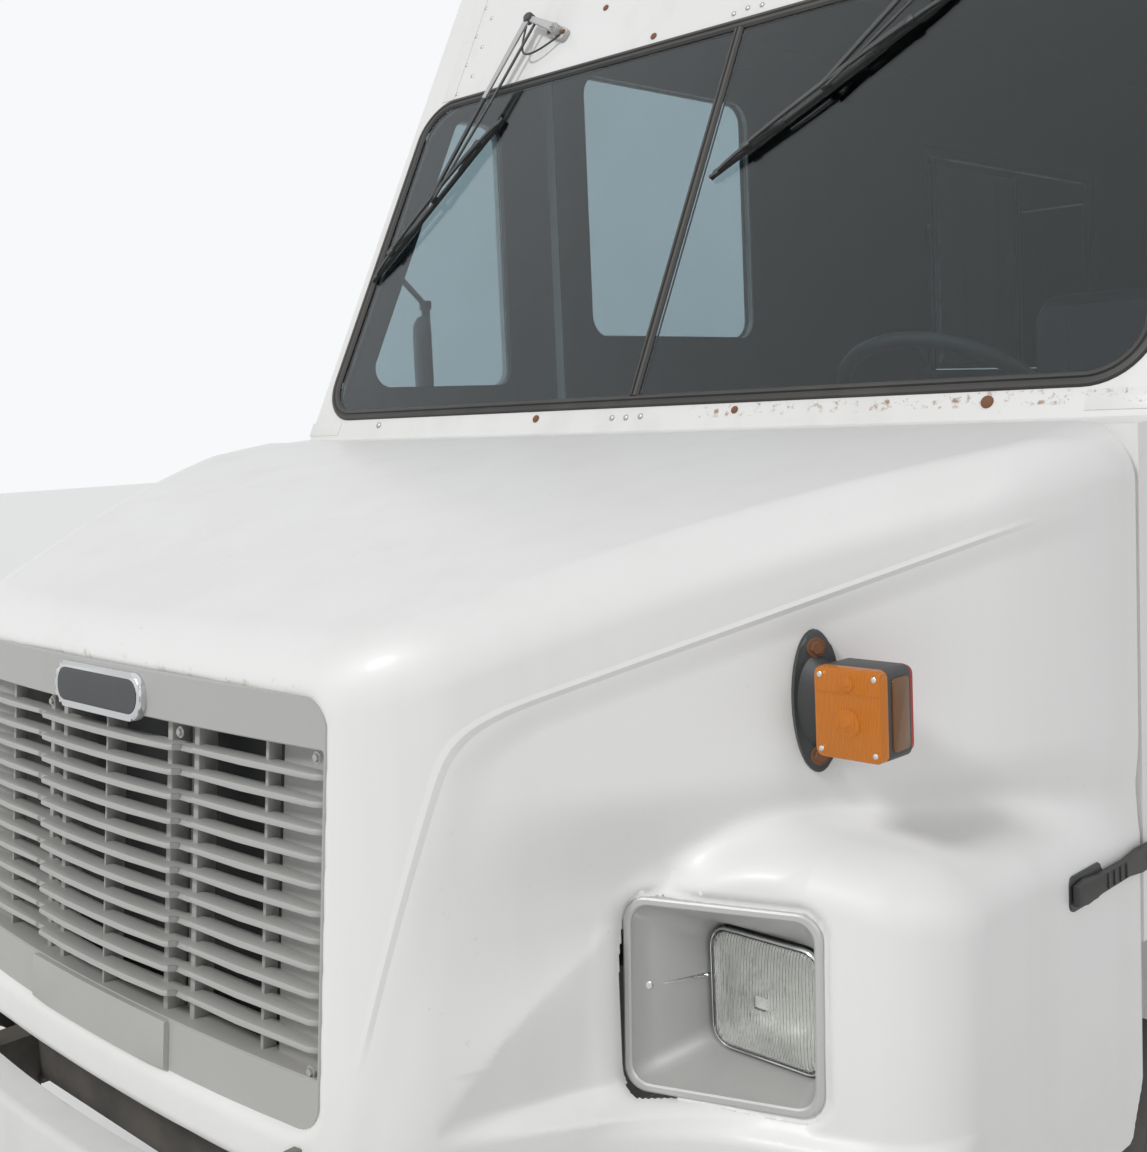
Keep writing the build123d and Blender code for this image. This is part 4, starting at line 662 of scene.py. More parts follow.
# One shape repeated round the X axis, then moved to its axle
def makeRingGrowth():
    tree, into, out = newGrowth("wheelRing", [("Count", "i"), ("Centre", "v"), ("Finish", "m")])
    line = addNode(tree, "GeometryNodeMeshLine", {"Count": into.outputs["Count"], "Offset": (0, 0, 0)},
                   mode="OFFSET")
    share = calc(tree, "DIVIDE", addNode(tree, "GeometryNodeInputIndex").outputs[0], into.outputs["Count"])
    turn = addNode(tree, "ShaderNodeCombineXYZ", {0: calc(tree, "MULTIPLY", share, math.tau)})
    copies = addNode(tree, "GeometryNodeInstanceOnPoints",
                     {"Points": line.outputs[0], "Instance": into.outputs[0], "Rotation": turn.outputs[0]})
    moved = addNode(tree, "GeometryNodeTransform",
                    {"Geometry": copies.outputs[0], "Translation": into.outputs["Centre"]})
    closeGrowth(tree, moved.outputs[0], into.outputs["Finish"], out)
    return tree


# A bolt or rivet head on each point, turned to face along the point's own direction
def makeHeadGrowth(name, bolt):
    tree, into, out = newGrowth(name, [("Seed", "i"), ("Finish", "m")])
    facing = addNode(tree, "GeometryNodeInputNamedAttribute", {"Name": "facing"}, data_type="FLOAT_VECTOR")
    girth = addNode(tree, "GeometryNodeInputNamedAttribute", {"Name": "girth"}, data_type="FLOAT")
    if bolt:
        head = addNode(tree, "GeometryNodeMeshCone",
                       {"Vertices": 6, "Radius Top": 0.90, "Radius Bottom": 1.0, "Depth": 0.75})
        washer = addNode(tree, "GeometryNodeMeshCone",
                         {"Vertices": 18, "Radius Top": 1.40, "Radius Bottom": 1.46, "Depth": 0.18})
        shape = addNode(tree, "GeometryNodeJoinGeometry")
        tree.links.new(head.outputs[0], shape.inputs[0])
        tree.links.new(washer.outputs[0], shape.inputs[0])
    else:
        dome = addNode(tree, "GeometryNodeMeshUVSphere", {"Segments": 12, "Rings": 8, "Radius": 1.0})
        shape = addNode(tree, "GeometryNodeTransform",
                        {"Geometry": dome.outputs[0], "Scale": (1.0, 1.0, 0.42)})
    spin = addNode(tree, "FunctionNodeRandomValue",
                   {"Min": (0, 0, 0), "Max": (0, 0, 1.05), "Seed": into.outputs["Seed"]},
                   data_type="FLOAT_VECTOR")
    turned = addNode(tree, "FunctionNodeAlignRotationToVector",
                     {"Rotation": spin.outputs[0], "Vector": facing.outputs[0]}, axis="Z")
    copies = addNode(tree, "GeometryNodeInstanceOnPoints",
                     {"Points": into.outputs[0], "Instance": shape.outputs[0], "Rotation": turned.outputs[0],
                      "Scale": girth.outputs[0]})
    closeGrowth(tree, copies.outputs[0], into.outputs["Finish"], out)
    return tree


rowGrowth = makeRowGrowth()
ringGrowth = makeRingGrowth()
boltGrowth = makeHeadGrowth("boltHeads", True)
rivetGrowth = makeHeadGrowth("rivetHeads", False)


def grow(piece, tree, **values):
    modifier = piece.modifiers.new(tree.name, "NODES")
    modifier.node_group = tree
    for socket in tree.interface.items_tree:
        if socket.in_out == "INPUT" and socket.name in values:
            modifier[socket.identifier] = values[socket.name]
    applyModifiers(piece)
    piece.data.shade_smooth()
    piece.data.set_sharp_from_angle(angle=math.radians(32))


# Heads at the given spots; a spot is a point, a direction and a radius
def makeHeads(name, spots, finish, body, tree=boltGrowth, seed=4):
    data = bpy.data.meshes.new(name)
    data.from_pydata([tuple(spot[0]) for spot in spots], [], [])
    facing = data.attributes.new("facing", "FLOAT_VECTOR", "POINT")
    facing.data.foreach_set("vector", [c for spot in spots for c in Vector(spot[1]).normalized()])
    girth = data.attributes.new("girth", "FLOAT", "POINT")
    girth.data.foreach_set("value", [spot[2] for spot in spots])
    piece = bpy.data.objects.new(name, data)
    scene.collection.objects.link(piece)
    grow(piece, tree, Seed=seed, Finish=finish)
    standPiece(piece, body)
    return piece


# Floor
stageFloor = {"half": 40.0}


def layFloor():
    half = stageFloor["half"]
    data = bpy.data.meshes.new("studioFloor")
    data.from_pydata([(-half, -half, 0), (half, -half, 0), (half, half, 0), (-half, half, 0)], [],
                     [(0, 1, 2, 3)])
    floor = bpy.data.objects.new("studioFloor", data)
    scene.collection.objects.link(floor)
    material = bpy.data.materials.new("studioFloor")
    material.use_nodes = True
    tree = material.node_tree
    shader = tree.nodes["Principled BSDF"]
    place = addNode(tree, "ShaderNodeTexCoord").outputs["Object"]
    tone = mixColor(tree, noise(tree, place, 3.0), (*stageSet["floor"], 1),
                    (*[c * 0.985 for c in stageSet["floor"]], 1))
    tree.links.new(tone, shader.inputs["Base Color"])
    shader.inputs["Roughness"].default_value = 0.9
    data.materials.append(material)


layFloor()

# Hood: one moulded skin, worked out as a rounded solid and walked over on a fine grid. Each field is
# negative inside, and its value is close to the distance from the surface


def roundMax(a, b, r):
    return np.minimum(np.maximum(a, b), -r) + np.hypot(np.maximum(a + r, 0), np.maximum(b + r, 0))


def roundMin(a, b, r):
    return np.maximum(np.minimum(a, b), r) - np.hypot(np.maximum(r - a, 0), np.maximum(r - b, 0))


def smooth(share):
    share = np.clip(share, 0, 1)
    return share * share * (3 - 2 * share)


def roundedBox(u, v, halfU, halfV, radius):
    du, dv = np.abs(u) - halfU + radius, np.abs(v) - halfV + radius
    return np.hypot(np.maximum(du, 0), np.maximum(dv, 0)) + np.minimum(np.maximum(du, dv), 0) - radius


# The nose's leaning face: a point on it, its upward direction in Y and Z, and its height
def faceFrame(f):
    tall = math.hypot(f["faceTop"] - f["faceLow"], f["lean"])
    up = (f["lean"] / tall, (f["faceTop"] - f["faceLow"]) / tall)
    return (f["faceY"] - f["lean"] / 2, (f["faceTop"] + f["faceLow"]) / 2), up, tall


# Distance of points from a line through two (x, z) points, positive on its left
def lineSide(x, z, a, b):
    dx, dz = b[0] - a[0], b[1] - a[1]
    return ((z - a[1]) * dx - (x - a[0]) * dz) / math.hypot(dx, dz)


# How far the cheek's lower field lies behind its upper one, beyond the crease
def creaseDepth(across, z, f):
    rear, turn, low, foot = f["crease"]
    above = -lineSide(across, z, rear, turn)
    ahead = -lineSide(across, z, low, foot)
    field = roundMax(above, ahead, f["creaseTurn"])
    return f["creaseDeep"] * smooth(-field / f["creaseSoft"])


# How deep the cheek is dished towards the lamp: a soft twist above, a ramp from a slanted rim below
def dishDepth(across, z, f=hoodForm["dish"]):
    twist = smooth((across - f["from"]) / (f["to"] - f["from"])) * smooth((f["top"] - z) / f["fade"])
    twist = twist * smooth((z - f["foot"]) / f["fade"])
    rimX, rimZ = f["rim"]
    rim = np.minimum(rimX + (z - rimZ) * f["rimSlope"], f["to"] - 0.020)
    ramp = np.clip((across - rim) / (f["to"] - rim), 0, 1)
    ramp = 1 - (1 - ramp) ** 1.5
    ramp = ramp * smooth((f["crown"] - z) / 0.060) * smooth((z - f["ledge"]) / 0.034)
    return f["deep"] * roundMax(twist, ramp, 0.12)


# The lamp plane's field, and a point's place across and up that plane
def lampFrame(across, y, z, f=hoodForm):
    yaw, tip = math.radians(f["lampYaw"]), math.radians(f["lampLean"])
    dx, dy, dz = across - f["lampX"], y - f["lampY"], z - f["lampZ"]
    out = (dx * math.sin(yaw) - dy * math.cos(yaw)) * math.cos(tip) + dz * math.sin(tip)
    u = dx * math.cos(yaw) + dy * math.sin(yaw)
    v = (dy * math.cos(yaw) - dx * math.sin(yaw)) * math.sin(tip) + dz * math.cos(tip)
    return out, u, v


def hoodUncut(x, y, z, f=hoodForm):
    across = np.abs(x)
    lean = f["lean"] / (f["faceTop"] - f["faceLow"])
    face = f["faceY"] + (z - f["faceTop"]) * lean
    front = face - f["bow"] * (1 - np.minimum(across / f["cheekX"], 1.2) ** 2) - y
    runX, runY = f["half"] - f["cheekX"], f["cheekY"] - face
    cheek = ((across - f["half"]) * runY - (y - f["cheekY"]) * runX) / np.hypot(runX, runY)
    cheek = cheek + creaseDepth(across, z, f) + dishDepth(across, z)
    fit = np.polyfit([p[0] for p in f["top"]], [p[1] for p in f["top"]], 2)
    frontY = f["top"][2][0]
    slope = np.polyval(np.polyder(fit), frontY)
    crown = np.where(y > frontY, np.polyval(fit, y), np.polyval(fit, frontY) + slope * (y - frontY))
    top = (z - crown) * f["topSlope"]
    nose = roundMax(roundMax(front, cheek, f["cornerRadius"]), top, f["topRadius"])
    planes = [lineSide(across, z, a, b) for a, b in zip(f["fender"], f["fender"][1:])]
    fender = planes[0]
    for plane, radius in zip(planes[1:], f["fenderRadii"]):
        fender = roundMax(fender, plane, radius)
    lamp = lampFrame(across, y, z)[0]
    lamp = lamp - f["lip"]["proud"] * smooth((f["lip"]["top"] - z) / f["lip"]["soft"])
    turn = np.clip((z - f["frontTurn"][0]) / (f["frontTurn"][1] - f["frontTurn"][0]), 0, 1)
    outer = np.clip((across - f["outerTurn"][0]) / f["outerTurn"][1], 0, 1)
    small, large = f["fenderFront"]
    fender = roundMax(fender, lamp, small + (large - small) * np.maximum(turn, outer))
    whole = roundMin(nose, fender, f["sweep"])
    return roundMax(whole, across - f["half"], f["sideRadius"])


def hoodField(x, y, z, f=hoodForm):
    across = np.abs(x)
    whole = hoodUncut(x, y, z, f)
    edge = f["edge"]
    low = np.maximum(f["sideLow"] - z, np.minimum(f["noseLow"] - z, f["noseHalf"] - across))
    whole = roundMax(whole, low, edge)
    whole = roundMax(whole, y - f["rearY"], edge)
    whole = roundMax(whole, f["archR"] - np.hypot(y - f["archY"], z - f["archZ"]), edge)
    (midY, midZ), (upY, upZ), tall = faceFrame(f)
    rise = (y - midY) * upY + (z - midZ) * upZ
    out = -(y - midY) * upZ + (z - midZ) * upY
    opening = roundedBox(x, rise, f["grilleHalf"], tall / 2, f["grilleRadius"])
    whole = roundMax(whole, -np.maximum(opening, -f["deep"] - out), f["grilleLip"])
    # a flat seat under the bezel's rim, and a hole that runs straight back, as the bezel does
    out, u, v = lampFrame(across, y, z)
    seat = roundedBox(u, v, f["lampHalf"][0] + f["seat"], f["lampHalf"][1] + f["seat"],
                      f["lampRadius"] + f["seat"])
    whole = roundMax(whole, -np.maximum(seat, -out - f["seatBack"]), f["seatEase"])
    yaw, tip = math.radians(f["lampYaw"]), math.radians(f["lampLean"])
    back = y + out / (math.cos(yaw) * math.cos(tip))
    _, u, v = lampFrame(across, back, z)
    hole = roundedBox(u, v, *f["lampHalf"], f["lampRadius"])
    return roundMax(whole, -np.maximum(hole, -out - f["deep"]), f["holeEase"])


# The zero surface of a grid of values, as points and four-sided faces
def walkField(values, low, step):
    inner = values < 0
    size = np.array(values.shape) - 1
    corner = [(i, j, k) for i in (0, 1) for j in (0, 1) for k in (0, 1)]
    count = sum(inner[i:size[0] + i, j:size[1] + j, k:size[2] + k].astype(np.int8) for i, j, k in corner)
    cells = np.argwhere((count > 0) & (count < 8))
    index = -np.ones(size, np.int32)
    index[tuple(cells.T)] = np.arange(len(cells))
    held = [values[cells[:, 0] + i, cells[:, 1] + j, cells[:, 2] + k] for i, j, k in corner]
    total, hits = np.zeros((len(cells), 3)), np.zeros(len(cells))
    for a in range(8):
        for b in range(a + 1, 8):
            offset = np.subtract(corner[b], corner[a])
            if np.abs(offset).sum() != 1:
                continue
            cross = (held[a] < 0) != (held[b] < 0)
            share = np.where(cross, held[a] / np.where(cross, held[a] - held[b], 1), 0)
            total += cross[:, None] * (np.array(corner[a]) + share[:, None] * offset)
            hits += cross
    points = (cells + total / hits[:, None]) * step + low
    faces = []
    for axis in range(3):
        one, two = [a for a in range(3) if a != axis]
        first = [slice(1, -1)] * 3
        first[axis] = slice(0, -1)
        second = list(first)
        second[axis] = slice(1, None)
        change = inner[tuple(first)] != inner[tuple(second)]
        spots = np.argwhere(change) + [0 if a == axis else 1 for a in range(3)]
        starts = inner[tuple(spots.T)]
        ring = []
        for da, db in ((1, 1), (0, 1), (0, 0), (1, 0)):
            cell = spots.copy()
            cell[:, one] -= da
            cell[:, two] -= db
            ring.append(index[tuple(cell.T)])
        quads = np.stack(ring, 1)
        flip = starts if axis != 1 else ~starts
        quads[flip] = quads[flip][:, ::-1]
        faces.append(quads)
    return points, np.concatenate(faces)


def slopeOf(field, points, h=0.0006):
    slope = np.zeros_like(points)
    for axis in range(3):
        step = np.zeros(3)
        step[axis] = h
        slope[:, axis] = (field(*(points + step).T) - field(*(points - step).T)) / (2 * h)
    return slope


def settle(points, field, rounds=3, most=0.004):
    for _ in range(rounds):
        value = field(*points.T)
        slope = slopeOf(field, points)
        move = slope * (value / np.maximum((slope ** 2).sum(1), 0.05))[:, None]
        length = np.linalg.norm(move, axis=1)
        points = points - move * np.minimum(1, most / np.maximum(length, 1e-9))[:, None]
    return points


# Corner normals from the form itself, so thinned faces still shade as one smooth skin
def smoothByField(piece, field):
    data = piece.data
    points = np.empty(len(data.vertices) * 3)
    data.vertices.foreach_get("co", points)
    normals = slopeOf(field, points.reshape(-1, 3), 0.0030)
    normals /= np.maximum(np.linalg.norm(normals, axis=1), 1e-6)[:, None]
    flat = np.empty(len(data.polygons) * 3)
    data.polygons.foreach_get("normal", flat)
    flat = flat.reshape(-1, 3)
    owner = np.repeat(np.arange(len(data.polygons)), [p.loop_total for p in data.polygons])
    loops = np.empty(len(data.loops), int)
    data.loops.foreach_get("vertex_index", loops)
    share = (normals[loops] * flat[owner]).sum(1)
    chosen = np.where((np.abs(share) > 0.75)[:, None], normals[loops] * np.sign(share)[:, None], flat[owner])
    data.shade_smooth()
    data.normals_split_custom_set(chosen.tolist())


def makeHoodSkin(f=hoodForm):
    step = f["grid"]
    low = np.array(f["gridLow"])
    size = np.ceil((np.array(f["gridHigh"]) - low) / step).astype(int)
    axes = [low[a] + step * np.arange(size[a]) for a in range(3)]
    half = hoodField(*np.meshgrid(*axes, indexing="ij"))
    values = np.concatenate([half[:0:-1], half]).astype(np.float32)
    low[0] = -step * (size[0] - 1)
    points, faces = walkField(values, low, step)
    points = settle(points, hoodField)
    middle = points[faces].mean(1)
    faces = faces[hoodUncut(*middle.T) > -f["flange"]]
    used, faces = np.unique(faces, return_inverse=True)
    faces = faces.reshape(-1, 4)
    data = bpy.data.meshes.new("hoodSkin")
    data.from_pydata(points[used].tolist(), [], faces.tolist())
    data.materials.append(hoodWhite)
    piece = bpy.data.objects.new("hoodSkin", data)
    scene.collection.objects.link(piece)
    thin = piece.modifiers.new("thin", "DECIMATE")
    thin.ratio = f["thin"]
    wall = piece.modifiers.new("wall", "SOLIDIFY")
    wall.thickness = f["skin"]
    wall.offset = -1
    applyModifiers(piece)
    smoothByField(piece, hoodField)
    standPiece(piece, "hood", ("hood_shell",))
    return piece


hoodSkin = makeHoodSkin()
print("hood skin:", len(hoodSkin.data.polygons), "faces")

# Hinge arms inside the nose, which carry the hood on its pins
hingeForm = {"x": 0.472, "y": -3.405, "z": 0.706, "eye": 0.017, "wide": 0.014, "top": 0.768, "reach": 0.060,
             "pin": ((0, -0.004), (0.012, -0.004), (0.012, 0.018), (0, 0.018))}


def makeHingeArms(f=hingeForm):
    form = bmesh.new()
    for _, side in sides:
        at = placeAt((side * f["x"] - f["wide"] / 2, f["y"], f["z"]), (0, 1, 0), (1, 0, 0))
        eye = [(f["eye"] * math.cos(a), f["eye"] * math.sin(a)) for a in np.linspace(math.pi, math.tau, 11)]
        outline = eye + [(f["reach"], f["top"] - f["z"]), (-0.004, f["top"] - f["z"])]
        addPrism(form, at, outline, f["wide"], 0.002, both=True)
        addLathe(form, at, f["pin"], 20)
    makePiece("hoodHingeArms", form, [castGrey], "hood")


makeHingeArms()

# Grille: a frame with a proud centre, eleven stepped slats on upright posts, and a bare badge place

grilleForm = {
    "half": 0.4945, "tall": 0.5212, "corner": 0.038, "bow": 0.030, "back": -0.030,
    "bandTop": 0.064, "bandLow": 0.069, "side": 0.006, "lowBlock": (0.192, 0.037),
    "slats": 11, "slatThick": 0.0085, "slatEase": 0.0030,
    "slatPlan": ((0.0, 0.0365), (0.09, 0.0350), (0.180, 0.0305), (0.187, 0.0260), (0.188, 0.0125),
                 (0.219, 0.0125), (0.221, 0.0165), (0.33, 0.0125), (0.470, 0.0030), (0.484, -0.0060),
                 (0.4885, -0.0160), (0.4885, -0.0290), (0.228, -0.0170), (0.182, 0.0010), (0.0, 0.0080)),
    "posts": ((0.0, 0.005, -0.010, 0.0200), (0.151, 0.012, -0.020, 0.0080), (0.207, 0.012, -0.028, 0.0010),
              (0.358, 0.007, -0.028, -0.0080)),
    "plate": (0.378, 0.489, -0.028, -0.020), "tray": (0.179, 0.030, -0.020, 0.003), "screw": 0.0055,
    "badge": {"wide": 0.246, "high": 0.066, "rise": 0.2215, "deep": 0.012, "rim": 0.0095},
    "screws": ((0.185, 0.183, 0.012), (0.185, -0.207, 0.012), (0.470, 0.187, -0.004),
               (0.470, -0.187, -0.004)),
}
(faceMidY, faceMidZ), (faceUpY, faceUpZ), _ = faceFrame(hoodForm)
noseUp = Vector((0, faceUpY, faceUpZ))
noseOut = Vector((0, -faceUpZ, faceUpY))
nosePlace = placeAt((0, faceMidY, faceMidZ), (1, 0, 0), noseOut)


def nosePoint(x, rise, out):
    return nosePlace @ Vector((x, rise, out))


def makeGrille(f=grilleForm):
    lowRise, highRise = -f["tall"] / 2 + f["bandLow"], f["tall"] / 2 - f["bandTop"]

    def bow(x, inset=0.0):
        return f["bow"] * (1 - min(abs(x) / 0.5, 1) ** 2) - inset

    form = bmesh.new()
    outer = roundRect(2 * f["half"], f["tall"], f["corner"], fill=11)
    outerIn = roundRect(2 * f["half"] - 0.006, f["tall"] - 0.006, f["corner"] - 0.003, fill=11)
    middle, tall = (0.0, (lowRise + highRise) / 2), highRise - lowRise + 0.01
    innerOut = roundRect(2 * (f["half"] - f["side"]) + 0.003, highRise - lowRise + 0.004, 0.006, fill=11,
                         middle=middle)
    inner = roundRect(2 * (f["half"] - f["side"]), highRise - lowRise, 0.005, fill=11, middle=middle)
    loops = ([(x, y, f["back"]) for x, y in outer], [(x, y, bow(x, 0.004)) for x, y in outer],
             [(x, y, bow(x)) for x, y in outerIn], [(x, y, bow(x)) for x, y in innerOut],
             [(x, y, bow(x, 0.003)) for x, y in inner], [(x, y, f["back"]) for x, y in inner])
    addLoft(form, loops, nosePlace, closed=True)
    # the proud block in the middle of the lower band
    half, out = f["lowBlock"]
    plan = [(x, -out + 0.004 * (abs(x) / half) ** 2) for x in np.linspace(-half, half, 9)]
    plan += [(half, 0.01), (-half, 0.01)]
    low = nosePoint(0, -f["tall"] / 2 + 0.003, 0)
    addPrism(form, placeAt(low, (1, 0, 0), noseUp), plan, f["bandLow"] - 0.004, 0.004, both=True)
    for x, wide, back, front in f["posts"]:
        for side in ((1,) if x == 0 else (-1, 1)):
            at = nosePlace @ slide(side * x, middle[1], (back + front) / 2)
            addBlock(form, at, (wide, tall, front - back), 0.0015)
    x0, x1, back, front = f["plate"]
    for _, side in sides:
        at = nosePlace @ slide(side * (x0 + x1) / 2, middle[1], (back + front) / 2)
        addBlock(form, at, (x1 - x0, tall, front - back), 0.001)
        # a low tray behind the small slots
        trayX, wide, trayBack, thick = f["tray"]
        addBlock(form, nosePlace @ slide(side * trayX, middle[1], trayBack), (wide, tall, thick), 0.0)
    makePiece("grilleFrame", form, [grilleGrey], "hood", ("grille",))

    pitch = (highRise - lowRise) / (f["slats"] + 1)
    form = bmesh.new()
    right = f["slatPlan"]
    plan = right + tuple((-x, y) for x, y in right[-2:0:-1])
    low = nosePoint(0, lowRise + pitch - f["slatThick"] / 2, 0)
    plan = [(x, -y) for x, y in plan]
    addPrism(form, placeAt(low, (1, 0, 0), noseUp), plan, f["slatThick"], f["slatEase"], both=True)
    piece = makePiece("grilleSlats", form, [grilleGrey])
    grow(piece, rowGrowth, Count=f["slats"], Step=tuple(noseUp * pitch), Finish=grilleGrey)
    standPiece(piece, "hood")

    form = bmesh.new()
    b = f["badge"]
    at = nosePlace @ slide(0, b["rise"], bow(0.1) - 0.002)
    addPrism(form, at, roundRect(b["wide"], b["high"], b["high"] / 2 - 0.004, 9), b["deep"], 0.004)
    at = at @ slide(0, 0, b["deep"] - 0.001)
    inner = roundRect(b["wide"] - 2 * b["rim"], b["high"] - 2 * b["rim"], b["high"] / 2 - b["rim"] - 0.003, 9)
    addPrism(form, at, inner, 0.0018, 0.0006, finish=1)
    makePiece("badgePlace", form, [chromeTrim, dashGrey], "hood")
    spots = [(nosePoint(side * x, rise, out), noseOut, f["screw"]) for x, rise, out in f["screws"] for _,
             side in sides]
    makeHeads("grilleScrews", spots, zincGrey, "hood")


makeGrille()
print("grille made")

# Headlamps: a bezel whose scoop runs straight back to the lens, a silver ring, a fluted lens and its bowl

lampForm = {
    "x": 0.803, "y": -3.003, "z": 0.903, "yaw": 20.0, "lean": 4.0, "wide": 0.253, "high": 0.241,
    "radius": 0.031, "rim": 0.0120,
    # an inset and a place outwards, from the skirt under the hood's skin round the rim
    "rimSteps": ((0.004, -0.050), (0.0, 0.004), (0.0012, 0.0082), (0.0035, 0.0100), (0.0090, 0.0098),
                 (0.0112, 0.0076), (0.0120, 0.003)),
    "lensX": 0.822, "lensY": -2.940, "lensZ": 0.892, "lensWide": 0.162, "lensHigh": 0.146,
    "lensRadius": 0.024,
    "gap": 0.007, "ring": 0.0045, "ringOff": 0.0025, "bowlDeep": 0.058, "bowlEdge": 0.003, "glass": 0.0045,
    # a share of the lens's outline, with a share of the bowl's depth or a place outwards
    "bowl": ((1.0, 0.0), (0.93, 0.30), (0.78, 0.62), (0.55, 0.86), (0.28, 0.98), (0.004, 1.0)),
    "crown": ((1.0, -0.004), (1.0, 0.006), (0.985, 0.0085), (0.93, 0.0105), (0.70, 0.0135), (0.40, 0.0155),
              (0.12, 0.0160)),
    "screw": ((0, -0.002), (0.0052, -0.002), (0.0052, 0.0035), (0.0036, 0.0044), (0, 0.0040)),
}


def lampPlace(side, f=lampForm):
    yaw, tip = math.radians(f["yaw"]), math.radians(f["lean"])
    out = Vector((side * math.sin(yaw) * math.cos(tip), -math.cos(yaw) * math.cos(tip), math.sin(tip)))
    origin = Vector((side * f["x"], f["y"], f["z"]))
    return placeAt(origin, (math.cos(yaw), side * math.sin(yaw), 0), out)


def makeHeadlamps(f=lampForm):
    bezels, glass = bmesh.new(), bmesh.new()

    def lensShape(extra=0.0):
        return roundRect(f["lensWide"] + 2 * extra, f["lensHigh"] + 2 * extra, f["lensRadius"] + extra, 7, 3)

    for _, side in sides:
        at = lampPlace(side)
        lensAt = placeAt((side * f["lensX"], f["lensY"], f["lensZ"]), (1, 0, 0), (0, -1, 0))

        def lensLoop(shape, out, share=1.0):
            return [lensAt @ Vector((x * share, y * share, out)) for x, y in shape]

        loops = []
        for inset, out in f["rimSteps"]:
            shape = roundRect(f["wide"] - 2 * inset, f["high"] - 2 * inset, f["radius"] - inset * 0.6, 7, 3)
            loops.append([at @ Vector((x, y, out)) for x, y in shape])
        # the scoop, from the rim back to the lens, and a dark ring that closes it behind
        frameShape = lensShape(f["gap"])
        start, end = loops[-1], lensLoop(frameShape, -0.004)
        loops += [[a.lerp(b, share) for a, b in zip(start, end)] for share in (0.25, 0.5, 0.75, 1.0)]
        loops.append(lensLoop(frameShape, -0.018, 0.985))
        addLoft(bezels, loops, caps=False)
        addLoft(bezels, [lensLoop(frameShape, -0.019, 1.02), lensLoop(lensShape(-0.006), -0.012)],
                caps=False, finish=2)
        # the bright ring round the lens, and the bowl behind it
        ring = []
        for k in range(8):
            turn = math.tau * k / 8
            extra = f["ringOff"] + f["ring"] * 0.6 * math.cos(turn)
            ring.append(lensLoop(lensShape(extra), 0.001 + f["ring"] * math.sin(turn)))
        addLoft(bezels, ring, closed=True, finish=1)
        edge, shape = f["bowlEdge"], lensShape(-f["bowlEdge"])
        bowl = [lensLoop(shape, edge - f["bowlDeep"] * deep, share) for share, deep in f["bowl"]]
        addLoft(bezels, bowl, caps=False, finish=3)
        # the adjusting rod across the scoop's inner wall, with its screw
        first = at @ Vector((-side * (f["wide"] / 2 - f["rim"] - 0.001), 0.004, -0.004))
        last = lensAt @ Vector((-side * (f["lensWide"] / 2 + f["gap"]), 0.010, -0.001))
        addTube(bezels, [first.lerp(last, 0.02), first.lerp(last, 0.97)], 0.0026, 8, finish=1, flat=0.6)
        screwAt = placeAt(first.lerp(last, 0.16), (0, 0, 1), (side * 0.80, -0.60, 0))
        addLathe(bezels, screwAt, f["screw"], 18, finish=1)
        # the lens: a slightly crowned glass front with a thick rim
        shape = lensShape()
        front = [lensLoop(shape, out, share) for share, out in f["crown"]]
        rear = [lensLoop(shape, out - f["glass"], share * 0.965) for share, out in f["crown"][::-1]]
        addLoft(glass, front + rear, closed=True)
    makePiece("headlampBezels", bezels, [lampSilver, chromeTrim, dashGrey, bowlSilver], "hood",
              ("headlamp_bezels",))
    makePiece("headlampLenses", glass, [lampGlass], "hood", ("headlamp_lenses",), sharp=60)


makeHeadlamps()
print("headlamps made")

# Turn signals: an oval pedestal with two rusty bolts, a neck, a black housing and its lenses

signalForm = {
    "x": 0.857, "z": 1.254, "plate": (0.062, 0.176, 0.012), "plateSunk": 0.004, "plateEase": 0.004,
    "box": (0.092, 0.062, 0.108), "corner": 0.010, "lens": 0.012, "stalk": 0.075, "back": 0.035,
    "boltRise": 0.066, "bolt": 0.0085, "divide": 0.024, "screw": (0.009, 0.010, 0.0036),
    "side": (0.034, 0.086),
    # a share of the way from the plate to the box, with the neck's width and height there
    "necks": ((0.0, 0.056, 0.118), (0.25, 0.050, 0.094), (0.6, 0.046, 0.086), (1.0, 0.046, 0.084)),
    # the rings moulded in the lens: radius, height and rise
    "rings": ((0.017, 0.0016, -0.010), (0.011, 0.0026, -0.010), (0.0055, 0.0036, -0.010),
              (0.0095, 0.0016, 0.036), (0.0045, 0.0026, 0.036)),
}


def cheekPlace(side, x, z, f=hoodForm):
    lean = f["lean"] / (f["faceTop"] - f["faceLow"])
    face = f["faceY"] + (z - f["faceTop"]) * lean
    share = (f["half"] - x) / (f["half"] - f["cheekX"])
    y = f["cheekY"] + share * (face - f["cheekY"])
    along = Vector((side * (f["half"] - f["cheekX"]), f["cheekY"] - face, 0)).normalized()
    upward = Vector((0, lean * share, 1)).normalized()
    return placeAt((side * x, y, z), along, along.cross(upward) * side)


